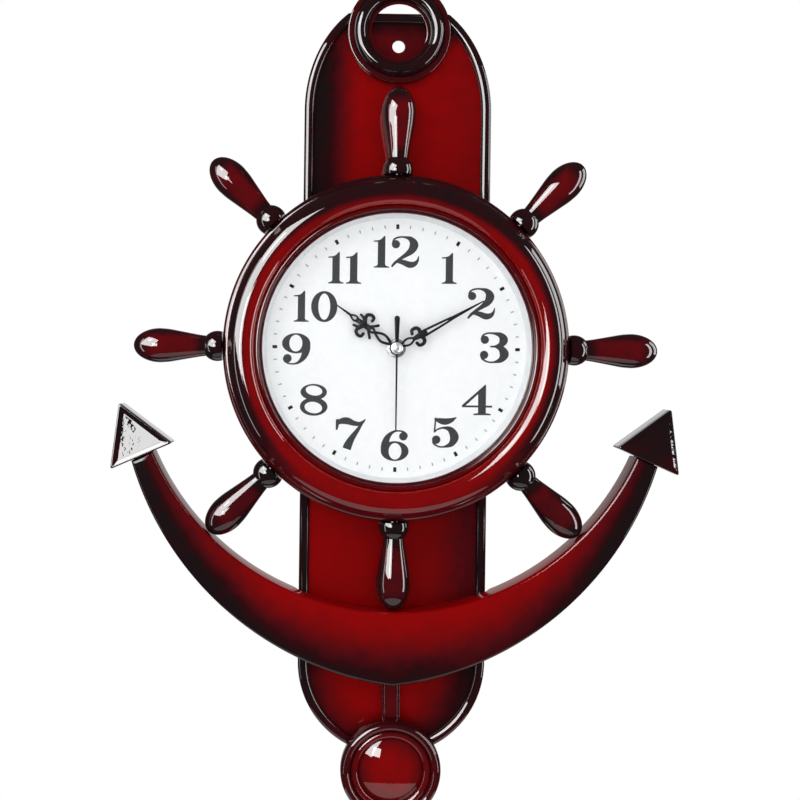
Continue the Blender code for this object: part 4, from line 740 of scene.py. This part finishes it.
def flukes():
    inner = FLUKE_HALF / math.sqrt(3)  # radius of the circle within a fluke
    edge = arc((0.9, FLUKE_FRONT - 0.9), (-0.9, 0.9), 0, 90, 6) + [(1.3, FLUKE_FRONT)]
    dish = [(1.7, 46.75), (2.3, 46.48), (2.9, 46.21), (3.5, 45.94), (3.9, 45.79), (4.3, 45.71), (4.7, 45.68)]
    rear = [(WALL, 44.2), (WALL, FLUKE_REAR), (0.2, FLUKE_REAR), (0.0, 27.3)]

    def leaning(p, z):
        return (p.x, p.y, z - FLUKE_LEAN * (p.y - FLUKE_PIVOT) if z > FLUKE_SIDES else z)

    for name, side in (("fluke_left", -1), ("fluke_right", 1)):
        middle, along, past = arm_end(side)
        start = middle + past * 0.3
        centre = start + past * inner
        wide = along * FLUKE_HALF
        corners = [start - wide, start + wide, start + past * FLUKE_HALF * math.sqrt(3)]
        outline = ccw(rounded([(c.x, c.y, 1.2) for c in corners], steps=8))
        shape, loops = Shape(), []
        for distance, z in rear + edge + dish:
            loop = [centre + (Vector(p) - centre) * (1 - distance / inner) for p in outline]
            loops.append(shape.ring([leaning(p, z) for p in loop]))
        shape.join(loops)
        shape.faces += [tuple(reversed(loops[0])), tuple(loops[-1])]
        piece(name + "_moulding", shape, LACQUERS["fluke"], "clock", replaces=[name])


# Dial


def stroke(knots, steps, round_ends=True):
    """Outline of a bar along (x, y, width) knots, with round or flat ends."""
    path = smooth(knots, steps) if len(knots) > 2 else [tuple(k) for k in knots]
    left, right = [], []
    for i, (x, y, width) in enumerate(path):
        before, after = path[max(i - 1, 0)], path[min(i + 1, len(path) - 1)]
        way = Vector((after[0] - before[0], after[1] - before[1])).normalized()
        side = Vector((-way.y, way.x)) * width / 2
        left.append((x + side.x, y + side.y))
        right.append((x - side.x, y - side.y))

    def cap(at, near):
        way = Vector((at[0] - near[0], at[1] - near[1])).normalized()
        turn = math.degrees(math.atan2(way.y, way.x))
        return arc(at[:2], (at[2] / 2, at[2] / 2), turn + 90, turn - 90, 10)[1:-1]

    if not round_ends:
        return left + right[::-1]
    return left + cap(path[-1], path[-2]) + right[::-1] + cap(path[0], path[1])


def oval(centre, radii, lean=0.0, steps=72):
    turn = Matrix.Rotation(math.radians(lean), 2)
    loop = arc((0, 0), radii, 0, 360 - 360 / steps, steps - 1)
    return [tuple(turn @ Vector(p) + Vector(centre)) for p in loop]


SERIF = 0.13  # of the figure 1, left of its stem
# Strokes, rings, balls and outlines of each figure, as shares of its height; 9 is 6 turned round
FIGURES = {
    "0": [("ring", (0.4225, 0.5), (0.4225, 0.5), (0.4225, 0.5), (0.19, 0.422), 0)],
    "1": [
        ("bar", [(-0.125, 0), (0.36, 0), (0.36, 0.035), (0.27, 0.06), (0.235, 0.1), (0.235, 1.0),
                 (0.195, 1.0), (0.15, 0.945), (0.08, 0.885), (0, 0.865), (-SERIF, 0.855), (-SERIF, 0.815),
                 (0, 0.815), (0, 0.1), (-0.035, 0.06), (-0.125, 0.035)]),
    ],
    "2": [
        ("ball", (0.137, 0.747), 0.131),
        ("stroke", [(0.03, 0.76, 0.05), (0.085, 0.9, 0.06), (0.24, 0.968, 0.055), (0.43, 0.968, 0.07),
                    (0.61, 0.905, 0.17), (0.705, 0.745, 0.275), (0.635, 0.56, 0.225), (0.44, 0.4, 0.135),
                    (0.22, 0.25, 0.09), (0.07, 0.11, 0.08), (0.025, 0.05, 0.06)]),
        ("stroke", [(0.04, 0.09, 0.06), (0.17, 0.2, 0.1), (0.36, 0.18, 0.16), (0.58, 0.105, 0.2),
                    (0.74, 0.14, 0.15), (0.83, 0.25, 0.075), (0.855, 0.37, 0.03)]),
    ],
    "3": [
        ("ball", (0.165, 0.755), 0.134),
        ("stroke", [(0.05, 0.79, 0.05), (0.11, 0.905, 0.06), (0.26, 0.97, 0.055), (0.46, 0.965, 0.075),
                    (0.67, 0.91, 0.18), (0.775, 0.765, 0.285), (0.7, 0.61, 0.2), (0.53, 0.545, 0.085),
                    (0.36, 0.535, 0.05)]),
        ("stroke", [(0.5, 0.54, 0.06), (0.69, 0.475, 0.2), (0.8, 0.3, 0.3), (0.7, 0.115, 0.19),
                    (0.49, 0.035, 0.07), (0.28, 0.033, 0.055), (0.1, 0.12, 0.06), (0.04, 0.225, 0.05)]),
        ("ball", (0.145, 0.262), 0.136),
    ],
    "4": [
        ("bar", [(0.53, 0.05), (0.788, 0.05), (0.788, 1.0), (0.75, 0.965), (0.53, 0.74)]),
        ("bar", [(0.0, 0.253), (0.06, 0.253), (0.788, 0.93), (0.788, 1.0), (0.755, 1.0), (0.0, 0.32)]),
        ("bar", [(0.0, 0.253), (0.992, 0.253), (0.992, 0.315), (0.0, 0.315)]),
        ("bar", [(0.38, 0), (0.951, 0), (0.951, 0.04), (0.85, 0.0625), (0.48, 0.0625), (0.38, 0.04)]),
    ],
    "5": [
        ("bar", [(0.062, 0.5), (0.115, 0.5), (0.14, 0.8), (0.15, 0.985), (0.1, 0.985)]),
        ("stroke", [(0.115, 0.94, 0.07), (0.25, 0.89, 0.17), (0.43, 0.86, 0.215), (0.62, 0.9, 0.16),
                    (0.745, 0.965, 0.075), (0.8, 1.0, 0.03)]),
        ("stroke", [(0.085, 0.515, 0.045), (0.2, 0.605, 0.055), (0.4, 0.655, 0.075), (0.62, 0.59, 0.2),
                    (0.745, 0.36, 0.29), (0.65, 0.135, 0.19), (0.43, 0.036, 0.07), (0.23, 0.04, 0.055),
                    (0.075, 0.13, 0.06), (0.04, 0.225, 0.05)]),
        ("ball", (0.15, 0.263), 0.138),
    ],
    "6": [
        ("ring", (0.452, 0.32), (0.448, 0.32), (0.462, 0.315), (0.205, 0.265), 0),
        ("stroke", [(0.125, 0.3, 0.245), (0.135, 0.52, 0.25), (0.21, 0.75, 0.185), (0.36, 0.915, 0.095),
                    (0.52, 0.972, 0.055), (0.7, 0.955, 0.055), (0.82, 0.875, 0.055), (0.845, 0.8, 0.05)]),
        ("ball", (0.725, 0.8), 0.135),
    ],
    "7": [
        ("bar", [(0.0, 0.61), (0.055, 0.61), (0.095, 0.74), (0.095, 0.965), (0.03, 0.96), (0.0, 0.93)]),
        ("stroke", [(0.06, 0.82, 0.1), (0.19, 0.895, 0.19), (0.37, 0.905, 0.225), (0.57, 0.835, 0.17),
                    (0.76, 0.815, 0.13), (0.9, 0.9, 0.07), (0.945, 0.965, 0.03)]),
        ("stroke", [(0.875, 0.87, 0.06), (0.71, 0.62, 0.125), (0.53, 0.36, 0.195), (0.41, 0.14, 0.26),
                    (0.36, 0.0, 0.275)], False),
    ],
    "8": [
        ("ring", (0.431, 0.745), (0.415, 0.255), (0.44, 0.79), (0.262, 0.153), -9),
        ("ring", (0.435, 0.286), (0.435, 0.286), (0.425, 0.257), (0.278, 0.178), -8),
    ],
}


def figure(key, low, height, shape):
    """One figure from its lower left corner; its parts rise in small steps, so that none coincide."""
    for step, (kind, first, *more) in enumerate(FIGURES["6" if key == "9" else key]):
        form = Shape()
        top = PRINT_FRONT + 0.01 * step
        if kind == "ring":
            radii, *hole = more
            form.band(oval(first, radii), oval(*hole), PRINT_REAR, top)
        else:
            outline = first
            if kind == "ball":
                outline = oval(first, (more[0], more[0]), steps=40)
            elif kind == "stroke":
                outline = stroke(first, 10, *more)
            form.raised(outline, [(0, PRINT_REAR), (0, top)], base=False)
        scale = Matrix.Diagonal((height, height, 1, 1))
        if key == "9":
            scale = scale @ Matrix.Translation((WIDTHS["9"], 1, 0)) @ Matrix.Diagonal((-1, -1, 1, 1))
        shape.add(form.moved(Matrix.Translation((*low, 0)) @ scale))


WIDTHS = {
    "0": 0.845, "1": 0.36, "2": 0.86, "3": 0.945, "4": 0.992,
    "5": 0.885, "6": 0.9, "7": 0.95, "8": 0.87, "9": 0.9,
}
# Text of each hour: centre and height in millimetres
HOURS = {
    "12": (-1.0, 75.0, 24.8), "1": (40.6, 62.8, 24.2), "2": (65.9, 35.4, 24.6), "3": (76.5, 1.3, 24.0),
    "4": (63.6, -39.6, 23.8), "5": (39.0, -65.4, 23.8), "6": (-0.3, -76.0, 24.2), "7": (-35.0, -67.0, 24.2),
    "8": (-63.9, -41.1, 24.8), "9": (-78.1, -1.6, 24.6), "10": (-63.4, 31.7, 24.2), "11": (-41.0, 62.1, 24.6),
}
SPACE = 0.07  # between two figures, as a share of their height


def dial():
    numbers = Shape()
    for text, (x, y, height) in HOURS.items():
        width = sum(WIDTHS[k] for k in text) + SERIF * text.count("1") + SPACE * (len(text) - 1)
        pen = x - width * height / 2
        for key in text:
            if key == "1":
                pen += SERIF * height
            figure(key, (pen, y - height / 2), height, numbers)
            pen += (WIDTHS[key] + SPACE) * height
    piece("dial_numbers", numbers, PRINT_GREY, "clock", sharp=20)
    hours, minutes = Shape(), Shape()
    for minute in range(60):
        on_hour = minute % 5 == 0
        half, low, high = (1.2, 92.9, 96.6) if on_hour else (0.5, 93.6, 96.2)
        corners = ((-half, low), (half, low), (half, high), (-half, high))
        outline = rounded([(*corner, 0.25) for corner in corners], steps=3)
        tick = Shape().raised(outline, [(0, PRINT_REAR), (0, PRINT_FRONT)], base=False)
        (hours if on_hour else minutes).add(tick.moved(Matrix.Rotation(math.radians(-6 * minute), 4, "Z")))
    piece("dial_hour_marks", hours, PRINT_BLACK, "clock", sharp=20)
    piece("dial_minute_marks", minutes, PRINT_PALE, "clock", sharp=20)
    profile = rounded([(101.5, ON_DIAL, 0), (103.7, 50.7, 0.5), (107.0, 50.7, 0.3), (107.0, ON_DIAL, 0)])
    spacer = Shape().turned(profile, 240)
    piece("spacer_ring", spacer, SPACER_WHITE, "clock", replaces=["dial_spacer"])


# Hands

# Bars of a hand: (offset in millimetres, share of its length) knots, widths at both ends, mirrored or not
HOUR_BARS = (
    (((0, 0.08), (2.9, 0.23), (0, 0.375)), 2.2, 1.9, True),
    (((0, 0.36), (1.7, 0.42), (0, 0.485)), 1.8, 1.8, True),
    (((0, 0.485), (3.0, 0.432), (5.9, 0.379)), 2.0, 2.2, True),
    (((0, 0.47), (0, 0.65)), 4.6, 3.6, False),
    (((0, 0.53), (4.4, 0.578), (7.4, 0.588), (9.3, 0.54), (8.6, 0.49), (6.0, 0.484)), 3.0, 2.4, True),
    (((1.0, 0.56), (4.0, 0.6), (4.9, 0.66)), 2.6, 1.9, True),
    (((0, 0.62), (1.9, 0.7), (0, 0.785)), 1.6, 1.4, True),
    (((0, 0.76), (0, 1)), 2.0, 0.9, False),
)
MINUTE_BARS = (
    (((0, 0.04), (2.5, 0.135), (0, 0.22)), 1.8, 1.6, True),
    (((0, 0.2), (0, 0.315)), 3.0, 6.0, False),
    (((1.0, 0.28), (4.6, 0.288), (6.8, 0.262), (6.4, 0.218), (4.0, 0.206)), 3.1, 2.5, True),
    (((2.1, 0.295), (1.6, 0.45), (0.8, 0.63)), 1.9, 1.6, True),
    (((0, 0.61), (0, 1)), 3.0, 1.0, False),
)
SECOND_BARS = ((((0, 0), (0, 1)), 1.6, 1.1, False), (((0, 0), (0, -23.0 / 64)), 2.4, 4.2, False))
HAND_EDGE = ((0.14, 0.0), (0.04, 0.04), (0.0, 0.14), (0.0, 0.34), (0.05, 0.45), (0.16, 0.5))


def hand(name, bars, length, bore, rear, turn, body):
    """A hand of bars and a hub; no two bars are equally thick, so that no faces coincide."""
    shape = Shape()
    for bar, (knots, start, end, both) in enumerate(bars):
        grow = (end - start) / (len(knots) - 1)
        for side in (1, -1) if both else (1,):
            path = [(side * x, share * length, start + grow * i) for i, (x, share) in enumerate(knots)]
            lift = 0.004 * (2 * bar + (side < 0))
            steps = [(distance, rear - lift + z * (1 + lift)) for distance, z in HAND_EDGE]
            shape.add(Shape().raised(stroke(path, 12), steps))
    outer, front = bore + 2.4, rear + 0.56
    hub = rounded([(bore, rear, 0), (outer, rear, 0.1), (outer, front, 0.2), (bore, front, 0.1)], steps=3)
    shape.add(Shape().turned(hub, 64))
    matrix = DIAL @ Matrix.Rotation(-math.radians(turn), 4, "Z")
    label = name + ("_pierced" if len(bars) > 2 else "_bar")
    piece(label, shape, HAND_BLACK, body, matrix, [name], 35)


def hands():
    hand("hour_hand", HOUR_BARS, 57.0, 3.0, 43.2, 305.1, "hour")
    hand("minute_hand", MINUTE_BARS, 76.5, 1.9, 45.0, 60.9, "minute")
    hand("second_hand", SECOND_BARS, 64.0, 0.8, 46.8, 180.0, "seconds")
    cap = rounded([
        (0, 49.55, 0), (1.2, 49.5, 1.0), (2.1, 49.2, 0.3), (2.4, 49.0, 0.2),
        (3.1, 49.3, 0.3), (4.6, 48.6, 0.9), (4.6, 47.6, 0.2), (0, 47.6, 0),
    ], False)
    piece("hub_cap_dome", Shape().turned(cap, 72, False), CHROME, "seconds", replaces=["hub_cap"])
    outline = rounded([(*polar(6.6, 60 * k + 30), 0.35) for k in range(6)], steps=4)
    nut, front = Shape(), 42.3
    levels = [(0.5, ON_DIAL), (0.0, 40.6), (0.0, 41.95), (0.55, front)]
    loops = [nut.level(inset(ccw(outline), distance), z) for distance, z in levels]
    bore = oval((0, 0), (4.5, 4.5), steps=len(outline))
    nut.join(loops + [nut.level(bore, z) for z in (front, ON_DIAL)], True)
    flange = rounded([(5.6, ON_DIAL, 0), (7.4, ON_DIAL, 0.2), (7.4, 40.9, 0.3), (5.6, 41.1, 0)])
    nut.add(Shape().turned(flange, 72))
    piece("hex_nut", nut, NICKEL, "clock", replaces=["fixing_nut"], sharp=25)


# Pendulum


def pendulum():
    section = rounded([
        (-6.9, 26.3, 0.2), (6.9, 26.3, 0.2), (6.9, 28.3, 0.5), (5.2, 28.3, 0.6), (4.8, 27.5, 0.2),
        (-4.8, 27.5, 0.2), (-5.2, 28.3, 0.6), (-6.9, 28.3, 0.5),
    ], steps=4)
    rod = Shape()
    loops = [rod.ring([(x, y, z) for x, z in section]) for y in (-244.0, -344.8)]
    rod.join(loops)
    rod.faces += [tuple(loops[0]), tuple(reversed(loops[1]))]
    piece("rod_strip", rod, LACQUERS["rod"], "pendulum", replaces=["pendulum_rod"])
    profile = [(39.6, 28.6), (39.6, 30.5)] + arc((35.65, 32.1), (3.95, 7.0), 0, 90, 14)
    profile += arc((35.65, 33.85), (3.95, 5.25), 90, 180, 14)[1:]
    profile += rounded([(31.7, 33.6, 0), (31.7, 33.3, 0.2), (31.3, 33.3, 0.1)], False)
    profile += arc((28.6, 33.85), (2.9, 2.63), 0, 180, 18)
    profile += [(25.5, 33.6), (25.5, 31.4), (37.1, 31.4), (37.1, 28.6)]
    moulding = Shape().turned(profile, 144)
    piece("bob_moulding", moulding, LACQUERS["bob"], "pendulum", BOB, ["bob_ring"])
    dome = [(0, 31.4), (25.2, 31.4), (25.2, 32.2)] + arc((0, -11.05), (50.4, 50.4), 60, 90, 24)
    disc = Shape().turned(dome, 120, False)
    piece("bob_disc", disc, LACQUERS["cap"], "pendulum", BOB, ["bob_cap"])


# Fasteners at the rear

SCREW_SIDES = 64


def cross(reach, arm):
    """Outline of a cross recess."""
    loop = []
    for x, y in oval((0, 0), (1, 1), steps=SCREW_SIDES):
        wide, narrow = max(abs(x), abs(y)), min(abs(x), abs(y))
        radius = min(reach / wide, arm / max(narrow, 1e-6))
        loop.append((radius * x, radius * y))
    return loop


def screws():
    """Pan-head screws through the board, each turned a little differently."""
    heads = Shape()
    for x, y in BEZEL_SCREWS + ARM_SCREWS:
        head = Shape()
        rings = [
            head.level(oval((0, 0), (radius, radius), steps=SCREW_SIDES), z)
            for radius, z in ((3.4, 0.02), (3.5, 0.15), (3.5, 0.9), (3.1, 1.6), (2.3, 2.0))
        ]
        rings += [head.level(cross(1.7, 0.42), z) for z in (2.1, 1.1)]
        head.join(rings)
        head.faces.append(tuple(rings[-1]))
        place = Matrix.Translation((x, y, BOARD_REAR)) @ Matrix.Rotation(math.pi, 4, "X")
        turn = Matrix.Rotation(math.radians(17 * x + 11 * y), 4, "Z")
        heads.add(head.moved(place @ turn))
    piece("rear_screws", heads, ZINC, "clock", sharp=30)


panel_rim()
panel_board()
hanging_boss()
anchor_ring()
bezel()
handles()
arms()
flukes()
dial()
hands()
pendulum()
screws()


# Finishes of the CAD pieces that show as they are

FINISHES = (
    (DIAL_CARD, "dial"),
    (GLASS, "lens"),
    (BRASS, "threaded_bush"),
    (RUBBER, "dial_washer"),
    (HOUSING, "movement_case movement_cover swing_case swing_cover"),
    (MOULDED, "setting_knob bob_back pendulum_hanger cross_rib_top cross_rib_upper cross_rib_lower"),
    (GEAR, "hour_wheel cannon_pinion centre_wheel seconds_wheel third_wheel intermediate_wheel minute_wheel"),
    (MAGNET, "rotor pendulum_magnet"),
    (STEEL, "stator pivot_pin"),
    (STEEL, "clock_contact_plus clock_contact_minus swing_contact_plus swing_contact_minus"),
    (COPPER, "coil swing_coil"),
    (BOARD, "circuit_board swing_board"),
    (CELL, "clock_cell swing_cell"),
)
SOFT_EDGES = {
    0.2: "pendulum_hanger",
    0.25: "movement_cover swing_cover",
    0.3: "setting_knob bob_back pendulum_magnet cross_rib_top cross_rib_upper cross_rib_lower",
    0.4: "clock_cell swing_cell",
    0.5: "movement_case swing_case",
}
for material, names in FINISHES:
    for name in names.split():
        nodes[name].data.materials.clear()
        nodes[name].data.materials.append(material)
for width, names in SOFT_EDGES.items():
    for name in names.split():
        bevel = nodes[name].modifiers.new("soft_edges", "BEVEL")
        bevel.width = width * MM
        bevel.segments = 2
        bevel.limit_method = "ANGLE"
        bevel.angle_limit = math.radians(35)


# Studio

AIM = Vector((0, 0, -0.25))
# Hour of the dial that a lamp stands towards, degrees from the straight front, metres away, size, radiance
LAMPS = {
    "key": (10.4, 50, 1.9, (0.35, 0.35), 9.0),
    "left_card": (9.9, 47, 1.3, (1.05, 1.0), 16.0),
    "low_card": (9.2, 24, 1.45, (0.4, 0.38), 18.0),
    "left_strip": (9.0, 71, 1.3, (1.7, 0.16), 6.0),
    "right_strip": (2.9, 72, 1.3, (1.7, 0.26), 10.0),
    "right_back": (2.6, 101, 1.3, (1.1, 0.5), 5.0),
}
FLOOR_AT, FLOOR_RADIUS = -1.05, 0.6


def world():
    """White behind the clock; for reflections a dark room that is bright only behind it."""
    made = bpy.data.worlds.new("studio")
    scene.world = made
    made.use_nodes = True
    made.node_tree.nodes.clear()
    node = partial(add_node, made.node_tree)
    path = node("LightPath")
    way = node("SeparateXYZ", {0: node("TexCoord").outputs["Generated"]})
    limits = {"From Min": 0.8, "From Max": 1.0, "To Min": 0.04, "To Max": 1.0}
    behind = node("MapRange", {"Value": way.outputs["Y"], **limits})
    room = node("Background", {"Color": (1, 1, 1, 1), "Strength": behind.outputs[0]})
    light = node("Background", {"Color": (1.05, 1.05, 1.055, 1)})
    white = node("Background", {"Color": (1, 1, 1, 1)})
    rays = {0: path.outputs["Is Glossy Ray"], 1: path.outputs["Is Transmission Ray"]}
    seen = node("Math", rays, operation="MAXIMUM")
    lit = node("MixShader", {0: seen.outputs[0], 1: light.outputs[0], 2: room.outputs[0]})
    final = node("MixShader", {0: path.outputs["Is Camera Ray"], 1: lit.outputs[0], 2: white.outputs[0]})
    node("OutputWorld", {0: final.outputs[0]})


def lamp(name, clock, slant, away, size, radiance):
    """An area lamp turned to the clock; all but the key show in reflections only."""
    made = bpy.data.lights.new(name, "AREA")
    made.shape = "RECTANGLE"
    made.size, made.size_y = size
    made.energy = radiance * math.pi * size[0] * size[1]
    obj = linked(name, made)
    turn, slant = math.radians(90 - 30 * clock), math.radians(slant)
    out = Vector((math.cos(turn) * math.sin(slant), -math.cos(slant), math.sin(turn) * math.sin(slant)))
    across = Vector((-math.sin(turn), 0, math.cos(turn)))
    facing_clock = Matrix((across, out.cross(across), out)).transposed().to_4x4()
    obj.matrix_world = Matrix.Translation(AIM + out * away) @ facing_clock
    obj.visible_camera = False
    obj.visible_diffuse = name == "key"


def floor():
    """A disc far below, as white as the background."""
    disc = Shape()
    disc.faces = [tuple(disc.level(arc((0, 0), (FLOOR_RADIUS, FLOOR_RADIUS), 0, 357, 119), FLOOR_AT))]
    mesh = bpy.data.meshes.new("floor")
    mesh.from_pydata(disc.points, [], disc.faces)
    paint = Paint("floor_white", Roughness=0.7, Specular_IOR_Level=0.1, Emission_Color=(1, 1, 1, 1))
    paint.set(Base_Color=paint.ramp(paint.noise(3.0), (0.0, (0.27, 0.27, 0.27)), (1.0, (0.30, 0.30, 0.30))))
    rays = paint.node("LightPath").outputs
    seen = paint.most(paint.most(rays["Is Camera Ray"], rays["Is Glossy Ray"]), rays["Is Transmission Ray"])
    paint.set(Emission_Strength=paint.times(seen, 0.74))
    mesh.materials.append(paint.material)
    obj = linked("floor", mesh)


def camera():
    """The photograph's view, fitted to it."""
    made = bpy.data.cameras.new("photo_view")
    made.lens = 49.88
    made.shift_x, made.shift_y = 0.075, -0.05625
    made.clip_start = 0.05
    obj = linked("photo_view", made)
    place = Matrix.Translation((-0.0521, -0.9048, -0.2464)) @ Matrix.Rotation(math.radians(-0.546), 4, "Z")
    roll = Matrix.Rotation(math.radians(0.725), 4, "Z")
    obj.matrix_world = place @ Matrix.Rotation(math.pi / 2, 4, "X") @ roll
    scene.camera = obj


scene.view_settings.view_transform = "Standard"
world()
for name, settings in LAMPS.items():
    lamp(name, *settings)
floor()
camera()
